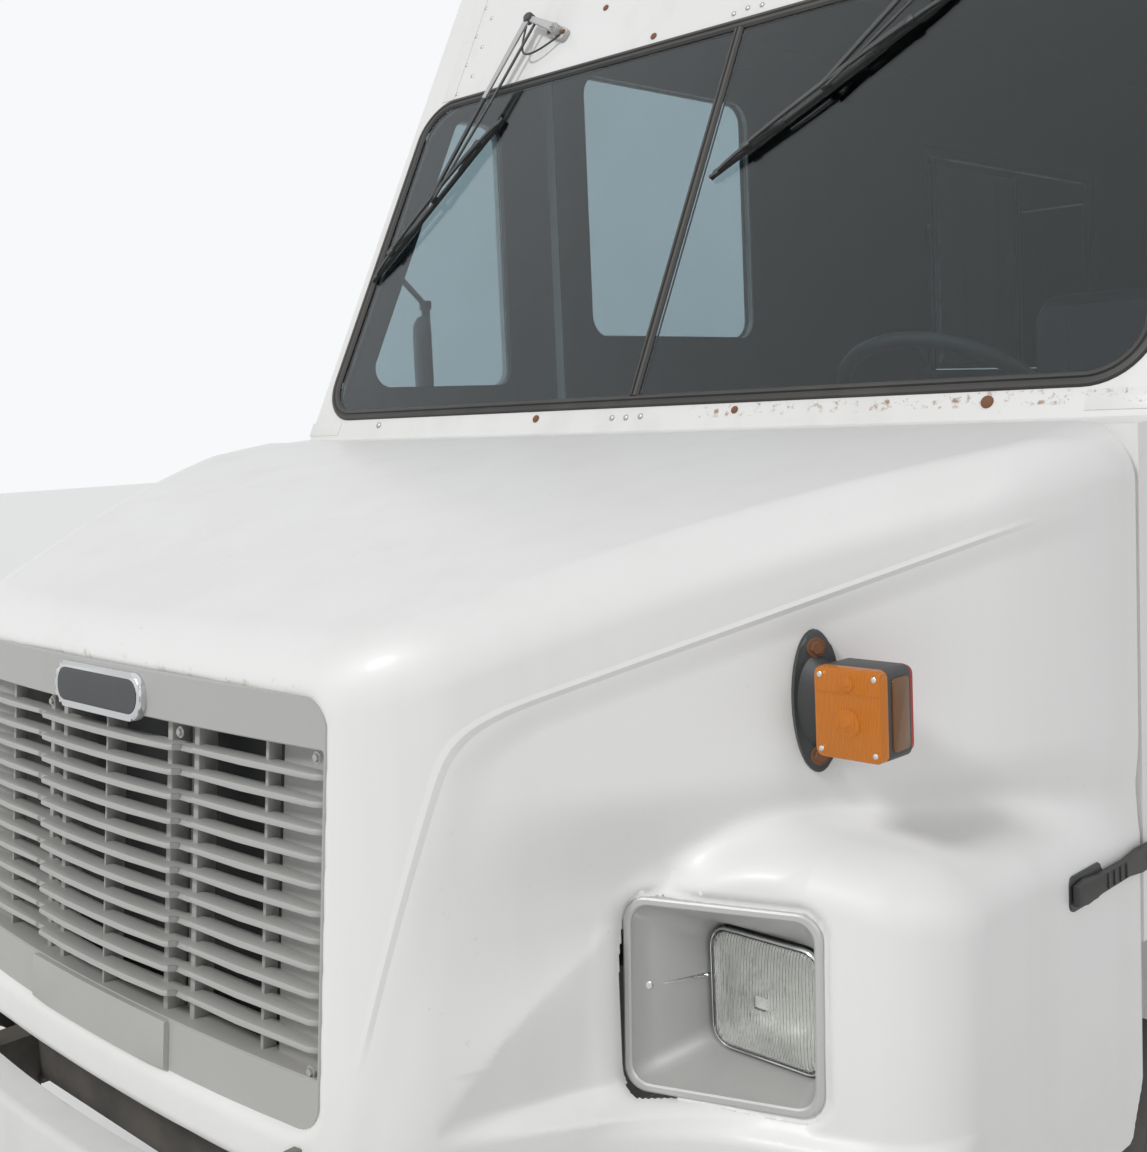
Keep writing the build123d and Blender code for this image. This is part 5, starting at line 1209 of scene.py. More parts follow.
def makeSignals(f=signalForm):
    housing, front, rearLens, sideLens = (bmesh.new() for _ in range(4))
    bolts, screws = [], []
    wide, high, deep = f["plate"]
    sunk = hoodForm["creaseDeep"]
    x, y, z = f["box"]
    boxShape = roundRect(x, z, f["corner"], 5)
    lensY = -y / 2 - f["lens"]
    for _, side in sides:
        plate = cheekPlace(side, f["x"], f["z"])
        foot = plate @ slide(0, 0, -sunk - f["plateSunk"])
        addPrism(housing, foot, oval(wide, high, 36), deep + sunk, f["plateEase"])
        mid = cheekPlace(1, f["x"], f["z"]) @ Vector((f["back"], 0, f["stalk"]))
        mid = Vector((side * mid.x, mid.y, mid.z))
        target = plate.inverted() @ mid
        loops = []
        for share, w, h in f["necks"]:
            aside, lift = target.x * share * 0.8, 0.006 + (target.z - 0.020) * share
            loops.append([plate @ Vector((px + aside, py, lift)) for px, py in oval(w, h, 28)])
        addLoft(housing, loops)
        for end in (-1, 1):
            seatAt = plate @ slide(0, end * f["boltRise"], deep - 0.004)
            bolts.append((seatAt @ Vector((0, 0, 0.0005)), seatAt.to_3x3() @ Vector((0, 0, 1)), f["bolt"]))

        # the box's outline in X and Z, lofted along Y: each step is a place along Y and an inset
        def addBox(form, steps):
            loops = []
            for off, inset in steps:
                s, t = 1 - 2 * inset / x, 1 - 2 * inset / z
                loops.append([mid + Vector((px * s, off, pz * t)) for px, pz in boxShape])
            addLoft(form, loops)

        addBox(housing,
               ((-y / 2 + 0.001, 0.001), (-y / 2 + 0.003, 0.0), (y / 2 - 0.012, 0.0), (y / 2 - 0.009, 0.002)))
        addBox(front,
               ((-y / 2 + 0.0025, 0.0), (lensY + 0.004, 0.0), (lensY + 0.0012, 0.0012), (lensY, 0.004)))
        addBox(rearLens, ((y / 2 - 0.0092, 0.003), (y / 2 - 0.002, 0.003), (y / 2, 0.006)))
        bar = Matrix.Translation(mid + Vector((0, lensY, f["divide"])))
        addBlock(front, bar, (x - 0.008, 0.0016, 0.0016), 0.0004)
        for radius, height, rise in f["rings"]:
            at = placeAt(mid + Vector((0, lensY, rise)), (1, 0, 0), (0, -1, 0))
            addLathe(front, at,
                     [(radius, -0.002), (radius, height * 0.6), (radius * 0.8, height), (0, height)], 24)
        inX, inZ, girth = f["screw"]
        screws += [(mid + Vector((px, lensY, pz)), (0, -1, 0), girth)
                   for px in (inX - x / 2, x / 2 - inX) for pz in (inZ - z / 2, z / 2 - inZ)]
        at = placeAt(mid + Vector((side * (x / 2 - 0.001), -0.004, 0)), (0, 1, 0), (side, 0, 0))
        addPrism(sideLens, at, roundRect(*f["side"], 0.006, 4), 0.0035, 0.001)
    makePiece("signalHousings", housing, [plasticBlack], "hood", ("turn_signals",))
    makePiece("signalFronts", front, [amberLens], "hood", ("signal_lenses",))
    makePiece("signalRears", rearLens, [redLens], "hood")
    makePiece("signalSides", sideLens, [smokeLens], "hood")
    makeHeads("signalBolts", bolts, rustBrown, "hood")
    makeHeads("signalScrews", screws, chromeTrim, "hood", rivetGrowth)


makeSignals()

# Rubber hood latches: a moulded base on the hood's side, a waisted strap and its pull

latchForm = {
    "z": 0.985, "frontY": -2.627, "face": 1.050, "base": (0.090, 0.046, 0.010), "baseX": 0.046,
    # a place along the strap and its half width there
    "strap": ((0.004, 0.013), (0.030, 0.017), (0.070, 0.012), (0.150, 0.011), (0.190, 0.016), (0.232, 0.017),
              (0.238, 0.010)),
    "strapOut": 0.011, "ribs": (0.086, 0.104, 0.122, 0.140), "buttonX": 0.214,
    "button": ((0, 0), (0.010, 0), (0.010, 0.012), (0.006, 0.0125), (0, 0.0125)),
}


def makeLatches(f=latchForm):
    form = bmesh.new()
    for _, side in sides:
        at = sidePlace(side, f["face"], f["frontY"], f["z"])
        thick = f["base"][2]
        addPrism(form, at @ slide(f["baseX"], 0, 0), roundRect(*f["base"]), thick, 0.003, finish=1)
        outline = [(x, -y) for x, y in f["strap"]] + list(f["strap"][::-1])
        addPrism(form, at @ slide(0, 0, f["strapOut"]), outline, thick, 0.0025, both=True)
        for x in f["ribs"]:
            addBlock(form, at @ slide(x, 0, 0.0215), (0.006, 0.020, 0.003), 0.001)
        addLathe(form, at @ slide(f["buttonX"], 0, thick), f["button"], 20)
    makePiece("hoodLatches", form, [rubberBlack, plasticBlack], "hood", ("hood_latches",))


makeLatches()
print("signals and latches made")

# Windshield: a rubber gasket with its locking groove, a centre post, bolts on the cowl and the header

screenForm = {
    "foot": (0.0, -2.250, 1.620), "run": 0.392, "rise": 0.798, "low": 0.002, "tall": 0.884, "half": 1.010,
    "radius": 0.105, "wide": 0.0265,
    "post": ((-0.012, -0.012), (-0.012, 0.001), (-0.008, 0.0052), (-0.0025, 0.0060), (-0.0012, 0.0030)),
    "profile": ((0.0005, -0.012), (0.0005, 0.0015), (0.0030, 0.0050), (0.0095, 0.0062), (0.0118, 0.0030),
                (0.0142, 0.0030), (0.0166, 0.0062), (0.0215, 0.0055), (0.0262, 0.0010), (0.0262, -0.012)),
}
slant = math.hypot(screenForm["run"], screenForm["rise"])
screenOut = Vector((0, -screenForm["rise"], screenForm["run"])) / slant
screenPlace = placeAt(screenForm["foot"], (1, 0, 0), screenOut)


def screenPoint(x, up, out=0.0):
    return screenPlace @ Vector((x, up, out))


def makeGasket(f=screenForm):
    form = bmesh.new()
    middle = (0.0, f["low"] + f["tall"] / 2)
    loops = []
    for inset, out in f["profile"]:
        shape = roundRect(2 * (f["half"] - inset), f["tall"] - 2 * inset, f["radius"] - inset, 12,
                          middle=middle)
        loops.append([(x, y, out) for x, y in shape])
    addLoft(form, loops, screenPlace, closed=True)
    section = list(f["post"]) + [(-x, out) for x, out in f["post"][::-1]]
    ends = (f["low"] + f["wide"] - 0.002, f["low"] + f["tall"] - f["wide"] + 0.002)
    addLoft(form, [[(x, up, out) for x, out in section] for up in ends], screenPlace)
    makePiece("windshieldRubber", form, [rubberBlack], "truck", ("windshield_gasket",))


cowlBolts = {
    "rust": ((-0.256, -0.014, 0.0085), (0.259, -0.0120, 0.0075), (0.757, -0.0165, 0.0110),
             (-0.252, 0.906, 0.0085), (-0.443, 1.032, 0.0080), (0.510, 0.906, 0.0085)),
    "zinc": ((-0.780, -0.014, 0.0075), (-0.041, -0.0185, 0.0060), (-0.004, -0.0190, 0.0060),
             (0.033, -0.0175, 0.0060),
             (-0.028, 0.9045, 0.0060), (0.0075, 0.9095, 0.0060), (0.045, 0.907, 0.0060)),
    "seams": (-0.920, 0.920), "seamUps": tuple(0.902 + 0.0855 * k for k in range(7)), "seamTop": 1.49,
    "stagger": (0.006, 0.045), "rivet": 0.0055, "overlap": (0.045, 0.0022),
    "corners": ((-0.985, 0.115), (0.985, 0.135)),
}


def dressScreen(f=cowlBolts):
    for name, key, finish, seed in (("cowlBoltsRusty", "rust", rustBrown, 2),
                                    ("cowlBoltsGrey", "zinc", zincGrey, 3)):
        makeHeads(name, [(screenPoint(x, up, 0.001), screenOut, r) for x, up, r in f[key]],
                  finish, "truck", rivetGrowth, seed)
    near, far = f["stagger"]
    spots = [(screenPoint(x + near, up), screenOut, f["rivet"]) for x in f["seams"] for up in f["seamUps"]]
    spots += [(screenPoint(x + (far if x < 0 else -far), up + far), screenOut, f["rivet"])
              for x in f["seams"] for up in f["seamUps"][:-1]]
    makeHeads("headerRivets", spots, zincGrey, "truck", rivetGrowth, 5)
    form = bmesh.new()
    # the overlaps of two sheets show as low steps
    wide, thick = f["overlap"]
    low, high = screenForm["low"] + screenForm["tall"], f["seamTop"]
    for x in f["seams"]:
        at = screenPlace @ slide(x * 1.022, (low + high) / 2, 0.0006)
        addBlock(form, at, (wide, high - low, thick), 0.0006)
    for x, wide in f["corners"]:
        addBlock(form, screenPlace @ slide(x, -0.0195, 0.0004), (wide, 0.034, thick), 0.0006)
    makePiece("capPatches", form, [bodyWhite], "truck")


makeGasket()
dressScreen()

# Wipers: a bolted bracket, an arm with its link rod, and a yoked blade that rests on the glass

wiperForm = {
    "curb": {"pivot": (-0.572, 0.991), "corner": (-0.672, 1.040), "joint": (-0.836, 0.578),
             "blade": ((-0.684, 0.780), (-0.989, 0.376)), "silver": True},
    "driver": {"pivot": (0.640, 0.985), "corner": (0.560, 0.960), "joint": (0.283, 0.650),
               "blade": ((0.521, 0.805), (0.044, 0.496)), "silver": False},
}
hub = ((0, 0), (0.013, 0), (0.013, 0.022), (0.009, 0.026), (0, 0.026))
elbow = ((0, 0), (0.014, 0), (0.014, 0.014), (0.010, 0.018), (0, 0.018))
barSection = ((-1, -0.6), (-0.8, -1), (0.8, -1), (1, -0.6), (1, 0.6), (0.8, 1), (-0.8, 1), (-1, 0.6))


def makeWipers(wipers=wiperForm):
    form, bolts, rusty = bmesh.new(), [], []

    # a flat bar that narrows a little: its points are x, up and out; size is width and thickness
    def bar(path, size, finish):
        points = [Vector(p) for p in path]
        loops = []
        for k, point in enumerate(points):
            ahead = (points[min(k + 1, len(points) - 1)] - points[max(k - 1, 0)]).normalized()
            across = Vector((0, 0, 1)).cross(ahead).normalized()
            wide = size[0] * (1 - 0.35 * k / (len(points) - 1))
            w, t = across * wide / 2, Vector((0, 0, size[1] / 2))
            loops.append([screenPlace @ (point + w * a + t * b) for a, b in barSection])
        addLoft(form, loops, finish=finish)

    for w in wipers.values():
        (px, pu), (cx, cu), (jx, ju) = w["pivot"], w["corner"], w["joint"]
        metal = int(w["silver"])
        run = Vector((cx - px, cu - pu, 0)).normalized()
        at = screenPlace @ placeAt((px, pu, 0.010), run, (0, 0, 1))
        foot = roundRect(0.075, 0.032, 0.010)
        addPrism(form, at @ slide(0.010, 0, -0.010), foot, 0.013, 0.003, finish=metal)
        addLathe(form, at, hub, 20, finish=metal)
        bolts.append((at @ Vector((0, 0, 0.026)), screenOut, 0.0075))
        for x, y in ((0.034, 0.006), (-0.018, -0.004)):
            rusty.append((at @ Vector((x, y, 0.003)), screenOut, 0.005))
        bar([(px, pu, 0.030), (cx, cu, 0.034)], (0.022, 0.010), metal)
        addLathe(form, screenPlace @ slide(cx, cu, 0.026), elbow, 20)
        mid = (cx + (jx - cx) * 0.45, cu + (ju - cu) * 0.45)
        bar([(cx, cu, 0.037), (*mid, 0.034)], (0.019, 0.007), metal)
        bar([(*mid, 0.033), (jx, ju, 0.026)], (0.013, 0.007), 0)
        off = Vector((-(ju - cu), jx - cx, 0)).normalized() * 0.028
        rod = [(cx + off.x, cu + off.y, 0.030), (mid[0] + off.x, mid[1] + off.y, 0.029),
               (jx + off.x * 0.4, ju + off.y * 0.4, 0.025)]
        addTube(form, [screenPlace @ Vector(p) for p in rod], 0.0035, 8)
        (ax, au), (bx, bu) = w["blade"]
        first, last = Vector((ax, au, 0)), Vector((bx, bu, 0))
        rise = Vector((0, 0, 1))

        def along(share, out):
            return first.lerp(last, share) + rise * out

        bar([along(0.0, 0.0035), along(0.5, 0.0035), along(1.0, 0.0035)], (0.0050, 0.0085), 2)
        bar([along(0.0, 0.0095), along(1.0, 0.0095)], (0.0105, 0.0035), 0)
        bow = [along(s, 0.0125 + 0.013 * (1 - abs(2 * s - 1) ** 2.2)) for s in np.linspace(0.16, 0.84, 9)]
        bar(bow, (0.0120, 0.0065), 0)
        for a, b in ((0.03, 0.31), (0.69, 0.97)):
            yoke = [along(a + (b - a) * t, 0.0105 + 0.0075 * (1 - abs(2 * t - 1) ** 2))
                    for t in np.linspace(0, 1, 7)]
            bar(yoke, (0.0105, 0.0050), 0)
            for s in (a, b):
                addBlock(form, screenPlace @ placeAt(along(s, 0.0085), last - first, rise),
                         (0.012, 0.013, 0.009), 0.002)
        for s in (0.17, 0.5, 0.83):
            at = screenPlace @ placeAt(along(s, 0.019), last - first, rise)
            addBlock(form, at, (0.020, 0.016, 0.012), 0.003)
        # the washer's hose from the bracket to the arm
        loop = [(px + 0.010, pu - 0.010, 0.012), (px + run.x * 0.05 - 0.004, pu - 0.048, 0.020),
                (px + run.x * 0.10, pu - 0.052, 0.024),
                (px + run.x * 0.115, pu - 0.020, 0.028), (cx - 0.002, cu - 0.020, 0.033)]
        addTube(form, [screenPlace @ p for p in bend(loop, 0.03)], 0.0026, 8)
    makePiece("wiperSet", form, [plasticBlack, zincGrey, rubberBlack], "truck", ("wipers",))
    makeHeads("wiperNuts", bolts, zincGrey, "truck", boltGrowth, 6)
    makeHeads("wiperBolts", rusty, rustBrown, "truck", boltGrowth, 7)


makeWipers()
print("windshield dressed")

# Front bumper: a pressed channel with rolled edges, bowed forwards

bumperForm = {"front": -3.500, "half": 1.040, "sweep": 0.150, "thick": 0.055, "low": 0.454, "high": 0.684,
              "roll": 0.012, "bolts": (-0.46, -0.36, 0.36, 0.46), "boltRows": (0.52, 0.62), "bolt": 0.012}


def makeBumper(f=bumperForm):
    form = bmesh.new()
    radius = (f["half"] ** 2 + f["sweep"] ** 2) / (2 * f["sweep"])
    tall, deep = f["high"] - f["low"], f["thick"]
    roll = f["roll"]
    section = [(roll - roll * math.cos(a), roll - roll * math.sin(a)) for a in np.linspace(math.pi / 2, 0, 5)]
    low = [(deep, 0.0)] + section
    high = [(d, tall - t) for d, t in section[::-1]] + [(deep, tall)]
    back = [(deep, tall - 0.006), (0.020, tall - 0.006), (0.007, tall - 0.020), (0.007, 0.020),
            (0.020, 0.006), (deep, 0.006)]
    profile = low + high + back

    def front(x):
        return f["front"] + radius - math.sqrt(radius ** 2 - x * x)

    addLoft(form, [[(x, front(x) + d, f["low"] + t) for d, t in profile]
                   for x in np.linspace(-f["half"], f["half"], 41)])
    makePiece("bumperBar", form, [bumperPaint], "truck", ("front_bumper",))
    spots = [(Vector((x, front(x), z)), (0, -1, 0), f["bolt"]) for x in f["bolts"] for z in f["boltRows"]]
    makeHeads("bumperBolts", spots, zincGrey, "truck", rivetGrowth, 8)


makeBumper()
print("bumper made")

# Tyres: a lathed casing with ribs and grooves in front, blocks grown round it behind

tyreForm = {
    "radius": 0.406, "z": 0.406, "frontY": -1.970, "rearY": 2.030, "front": (0.900,), "rear": (0.612, 0.915),
    "wall": ((0.2525, 0.088), (0.262, 0.0940), (0.274, 0.0965), (0.283, 0.1010), (0.286, 0.1000),
             (0.302, 0.1065),
             (0.330, 0.1120), (0.350, 0.1125), (0.352, 0.1112), (0.360, 0.1110), (0.362, 0.1122),
             (0.374, 0.1105), (0.384, 0.1060), (0.396, 0.1005), (0.4005, 0.0940), (0.4025, 0.0840)),
    "ribs": ((0.4032, 0.0665), (0.3920, 0.0645), (0.3920, 0.0575), (0.4045, 0.0555), (0.4052, 0.0265),
             (0.3925, 0.0245), (0.3925, 0.0175), (0.4056, 0.0155), (0.4058, 0.0)),
    "plain": ((0.3960, 0.0900), (0.3945, 0.0600), (0.3945, 0.0)),
    "blocks": ((-0.088, 0.031, 0.0), (-0.046, 0.036, 0.5), (0.0, 0.034, 0.0), (0.046, 0.036, 0.5),
               (0.088, 0.031, 0.0)),
    "turns": 54, "gapShare": 0.26, "blockDeep": 0.0125, "blockSunk": 0.0068, "crown": 0.0018, "slant": 0.16,
}


def tyreSurface(mid, y, form, treads, f=tyreForm):
    at = placeAt((mid, y, f["z"]), (0, 1, 0), (1, 0, 0))
    half = list(f["wall"]) + list(treads)
    mirrored = [(r, -h) for r, h in half[::-1] if h > 0]
    addLathe(form, at, half + mirrored + [(f["wall"][0][0], 0.0)], 96, closed=True)


def growTread(name, mids, y, body, f=tyreForm):
    form = bmesh.new()
    pitch = math.tau * f["radius"] / f["turns"]
    for mid in mids:
        for x, wide, shift in f["blocks"]:
            turn = math.tau * shift / f["turns"]
            lift = f["radius"] - f["blockSunk"] - f["crown"] * (x / f["blocks"][-1][0]) ** 2
            at = Matrix.Rotation(turn, 4, "X") @ slide(mid + x, 0, lift)
            at = at @ Matrix.Rotation(f["slant"] * (1 if x > 0 else -1), 4, "Z")
            addBlock(form, at, (wide, pitch * (1 - f["gapShare"]), f["blockDeep"]), 0.0012)
    piece = makePiece(name, form, [tyreBlack])
    grow(piece, ringGrowth, Count=f["turns"], Centre=(0.0, y, f["z"]), Finish=tyreBlack)
    standPiece(piece, body)


def makeTyres(f=tyreForm):
    for sideName, side in sides:
        for end, y, body in (("front", f["frontY"], "front_wheel_"), ("rear", f["rearY"], "rear_wheels_")):
            form = bmesh.new()
            for mid in f[end]:
                tyreSurface(side * mid, y, form, f["ribs"] if end == "front" else f["plain"])
            title = end + sideName.capitalize()
            makePiece(title + "Tyre", form, [tyreBlack], body + sideName,
                      (f"tyre_{end}_{sideName}",))
            if end == "rear":
                growTread(title + "Tread", [side * mid for mid in f[end]], y, body + sideName)


makeTyres()

# Wheels: the CAD discs stay, with hand holes, nuts on their circle, a hub cap and a valve
wheelForm = {
    "front": {"face": 0.952, "cap": 0.962, "capDeep": 0.030, "capR": 0.060},
    "rear": {"face": 0.833, "cap": 1.012, "capDeep": 0.006, "capR": 0.056},
    "valve": (0.214, 0.050, 0.0045), "valveTip": (0.034, 0.012),
    # the rolled rim of a hand hole: growth of its oval and height
    "holeRim": ((0.0, -0.001), (0.001, 0.003), (0.006, 0.003), (0.009, -0.001)),
    "holes": 8, "holeR": 0.186, "holeSize": (0.052, 0.036), "nuts": 8, "nutR": 0.117, "nut": 0.0165,
}


def dressWheels(f=wheelForm):
    for sideName, side in sides:
        for end, y, body in (("front", tyreForm["frontY"], "front_wheel_"),
                             ("rear", tyreForm["rearY"], "rear_wheels_")):
            w, z = f[end], tyreForm["z"]
            form = bmesh.new()
            hub = sidePlace(side, w["cap"], y, z)
            r, deep = w["capR"], w["capDeep"]
            addLathe(form, hub,
                     [(r, -0.004), (r, deep * 0.6), (r * 0.9, deep * 0.9), (r * 0.55, deep), (0, deep)], 40)
            addLathe(form, hub, [(r + 0.008, -0.002), (r + 0.008, 0.003), (r, 0.004), (r - 0.002, -0.002)],
                     40, closed=True)
            for k in range(f["holes"]):
                turn = math.tau * (k + 0.5) / f["holes"]
                spot = Vector((side * w["face"], y + f["holeR"] * math.cos(turn),
                               z + f["holeR"] * math.sin(turn)))
                at = placeAt(spot, (0, -math.sin(turn), math.cos(turn)), (side, 0, 0))
                addPrism(form, at @ slide(0, 0, -0.003), oval(*f["holeSize"], 20), 0.0036, finish=1)
                long, wide = f["holeSize"]
                loops = [raised(oval(long + g, wide + g, 20), h) for g, h in f["holeRim"]]
                addLoft(form, loops, at, closed=True, finish=2)
            aft, up, girth = f["valve"]
            valve, (x, lift) = Vector((side * w["face"], y + aft, z + up)), f["valveTip"]
            addTube(form, [valve, valve + Vector((side * x, 0, lift))], girth, 10, finish=1)
            title = end + sideName.capitalize()
            makePiece(title + "WheelCap", form, [stainless, frameBlack, wheelWhite], body + sideName)
            x, reach = side * (w["face"] + 0.004), f["nutR"]
            spots = [(Vector((x, y + reach * math.cos(a), z + reach * math.sin(a))), (side, 0, 0), f["nut"])
                     for a in np.linspace(0, math.tau, f["nuts"], endpoint=False)]
            makeHeads(title + "Nuts", spots, castGrey, body + sideName, boltGrowth, 11)


dressWheels()
print("wheels made")

# Mirrors: arms from the body to an upright tube, and a rounded head with its glass
mirrorForm = {"head": (1.245, -1.715, 1.785), "size": (0.160, 0.236), "turn": 33.0,
              "pads": ((-2.110, 1.660, 1.640), (-1.975, 2.010, 1.930)), "face": 1.056, "arm": 0.008,
              "tube": 0.012,
              "pad": (0.012, 0.058, 0.058), "boltOff": 0.018, "bolt": 0.006, "tubeHalf": 0.158,
              "corner": 0.062, "sleeve": ((0.0165, 0), (0.0165, 0.024), (0.010, 0.024), (0.010, 0)),
              # an inset and a place outwards over the head's rounded back
              "shell": ((0.004, 0.0), (0.0, 0.004), (0.0, 0.016), (0.006, 0.028), (0.020, 0.036),
                        (0.045, 0.0395))}


def makeMirrors(f=mirrorForm):
    form, bolts = bmesh.new(), []
    x, y, z = f["head"]
    turn = math.radians(f["turn"])
    wide, high = f["size"]
    for _, side in sides:
        for padY, padZ, endZ in f["pads"]:
            addBlock(form, slide(side * (f["face"] + 0.007), padY, padZ), f["pad"], 0.003)
            foot, tip = Vector((side * (f["face"] + 0.010), padY, padZ)), Vector((side * x, y, endZ))
            addTube(form, [foot, foot.lerp(tip, 0.5), tip], f["arm"], 12)
            addLathe(form, slide(side * x, y, endZ - 0.012), f["sleeve"], 20, closed=True)
            bolts += [(Vector((side * (f["face"] + 0.013), padY + a, padZ + a)), (side, 0, 0), f["bolt"])
                      for a in (-f["boltOff"], f["boltOff"])]
        addTube(form, [(side * x, y, z + up) for up in (-f["tubeHalf"], 0, f["tubeHalf"])], f["tube"], 14)
        across, out = (math.cos(turn), side * math.sin(turn), 0), (side * math.sin(turn), -math.cos(turn), 0)
        at = placeAt((side * x, y + 0.005, z), across, out)
        addLoft(form, [raised(roundRect(wide - 2 * inset, high - 2 * inset, f["corner"] - inset, 7, 2), lift)
                       for inset, lift in f["shell"]], at)
        glass = roundRect(wide - 0.016, high - 0.016, f["corner"] - 0.008, 7)
        addPrism(form, at @ slide(0, 0, -0.0004), glass, 0.001, finish=1)
    makePiece("mirrorSet", form, [plasticBlack, mirrorSilver], "truck", ("mirrors",))
    makeHeads("mirrorBolts", bolts, zincGrey, "truck", boltGrowth, 12)


makeMirrors()

# Lamps on the body: amber markers over the windshield, red and amber lamps on the rear frame
lampSet = {"markers": (-0.900, -0.220, 0.0, 0.220, 0.900), "up": 1.348, "tailX": 0.930, "tailY": 3.400,
           "tails": ((0.760, 1), (1.000, 2)), "top": 2.900, "tall": (0.120, 0.120), "flat": (0.110, 0.040),
           "deep": 0.024, "corner": 0.012,
           # an inset and a share of the depth over the lens's edge; the rings of the two kinds of lens
           "edge": ((0.0, 0.35), (0.0, 0.62), (0.004, 0.84), (0.012, 0.97)), "rings": (0.040, 0.024),
           "ring": (0.011,)}


def makeBodyLamps(f=lampSet):
    form = bmesh.new()

    deep, corner = f["deep"], f["corner"]

    def lamp(at, size, finish, rings):
        wide, high = size
        addPrism(form, at, roundRect(wide, high, corner, 4), deep * 0.35, 0.002, finish=0)
        addLoft(form,
                [raised(roundRect(wide - 0.008 - 2 * i, high - 0.008 - 2 * i, corner - i / 2, 4), deep * h)
                       for i, h in f["edge"]], at, finish=finish)
        for radius in rings:
            section = [(radius, 0), (radius, 0.0012), (radius - 0.003, 0.0012), (radius - 0.003, 0)]
            addLathe(form, at @ slide(0, 0, deep * 0.96), section, 32, closed=True, finish=finish)

    def tailPlace(side, z):
        return placeAt((side * f["tailX"], f["tailY"], z), (-1, 0, 0), (0, 1, 0))

    for x in f["markers"]:
        lamp(screenPlace @ slide(x, f["up"], 0), f["flat"], 1, f["ring"])
    for _, side in sides:
        for z, finish in f["tails"]:
            lamp(tailPlace(side, z), f["tall"], finish, f["rings"])
        lamp(tailPlace(side, f["top"]), f["flat"], 2, f["ring"])
    makePiece("bodyLampSet", form, [plasticBlack, amberLens, redLens], "truck", ("body_lamps",))


makeBodyLamps()

# Body trim: rub rails, rivet rows along the sheet joints, and roof joints
bodyTrim = {
    "face": 1.056, "front": -0.435, "rear": 3.370, "rails": ((0.655, 0.040), (1.090, 0.050)),
    "railDeep": 0.012, "railEnd": 0.040, "railStep": 0.18, "railRivet": 0.0050,
    "seams": (-0.405, 0.470, 1.945, 3.330), "strip": 0.046, "thick": 0.0024, "low": 0.720, "high": 2.940,
    "step": 0.075, "rivet": 0.0055, "rivetLow": 1.160, "rivetFrom": 1.140, "pair": 0.013, "archGap": 0.030,
    "top": 2.965, "topFront": -1.400, "topStep": 0.090,
    "roofZ": 3.050, "roofSeams": (-1.35, -0.40, 0.55, 1.50, 2.45), "roofHalf": 0.93, "roofStrip": 0.040,
    "roofRivets": 0.900, "roofPair": 0.011, "arch": (2.030, 0.406, 0.500),
}


def makeBodyTrim(f=bodyTrim):
    form, spots = bmesh.new(), []
    archY, archZ, archR = f["arch"]
    deep, end = f["railDeep"], f["railEnd"]
    for _, side in sides:
        out = (side, 0, 0)
        for z, tall in f["rails"]:
            # a rail that meets the wheel's arch is cut in two by it
            foot, half = z - tall / 2, tall / 2
            reach = math.sqrt(max(archR ** 2 - (foot - archZ) ** 2, 0)) if foot < archZ + archR else 0
            parts = [(f["front"], f["rear"])]
            if reach:
                parts = [(f["front"], archY - reach), (archY + reach, f["rear"])]
            right = [(half, 0.0), (half - 0.006, 0.008), (half - 0.014, deep)]
            outline = [(-half, 0.0)] + right + [(-a, b) for a, b in right[:0:-1]]
            for y0, y1 in parts:
                at = placeAt((side * f["face"], y0, z), (0, 0, 1), (0, 1, 0))
                addPrism(form, at, [(a, b * side) for a, b in outline], y1 - y0, 0.002, both=True, finish=1)
                count = int((y1 - y0) / f["railStep"])
                for y in np.linspace(y0 + end, y1 - end, count + 1):
                    spots.append((Vector((side * (f["face"] + deep), y, z)), out, f["railRivet"]))
        for y in f["seams"]:
            low = archZ + archR + f["archGap"] if abs(y - archY) < archR + 0.05 else f["low"]
            at = slide(side * (f["face"] + 0.0008), y, (low + f["high"]) / 2)
            addBlock(form, at, (f["thick"], f["strip"], f["high"] - low), 0.0008)
        for y in f["seams"]:
            count = int((f["high"] - f["rivetFrom"]) / f["step"])
            spots += [(Vector((side * (f["face"] + 0.002), y + off,
                               f["rivetLow"] + f["step"] * (k + 0.5 * (off > 0)))),
                       out, f["rivet"]) for k in range(count) for off in (-f["pair"], f["pair"])]
        count = int((f["rear"] - f["topFront"]) / f["topStep"])
        spots += [(Vector((side * f["face"], f["topFront"] + f["topStep"] * k, f["top"])), out, f["rivet"])
                  for k in range(count)]
    for y in f["roofSeams"]:
        size = (2 * f["roofHalf"], f["roofStrip"], f["thick"])
        addBlock(form, slide(0, y, f["roofZ"] + 0.0008), size, 0.0008)
        spots += [(Vector((x, y + off, f["roofZ"] + 0.002)), (0, 0, 1), f["rivet"])
                  for x in np.linspace(-f["roofRivets"], f["roofRivets"], 19)
                  for off in (-f["roofPair"], f["roofPair"])]
    makePiece("bodySeams", form, [bodyWhite, stainless], "truck")
    makeHeads("bodyRivets", spots, bodyWhite, "truck", rivetGrowth, 13)


makeBodyTrim()

# Doors: a rubber round each pane and a flat grip on the cab doors, locking bars on the rear doors
doorTrim = {"face": 1.004, "window": (-1.330, -0.590, 1.830, 2.560), "wide": 0.020, "proud": 0.005,
            "gripY": -1.310, "gripZ": 1.300, "corner": 0.060, "rearFace": 3.400, "rods": 0.115,
            "rodLow": 0.98, "rodMid": 1.55, "rodHigh": 2.58, "rod": 0.008}


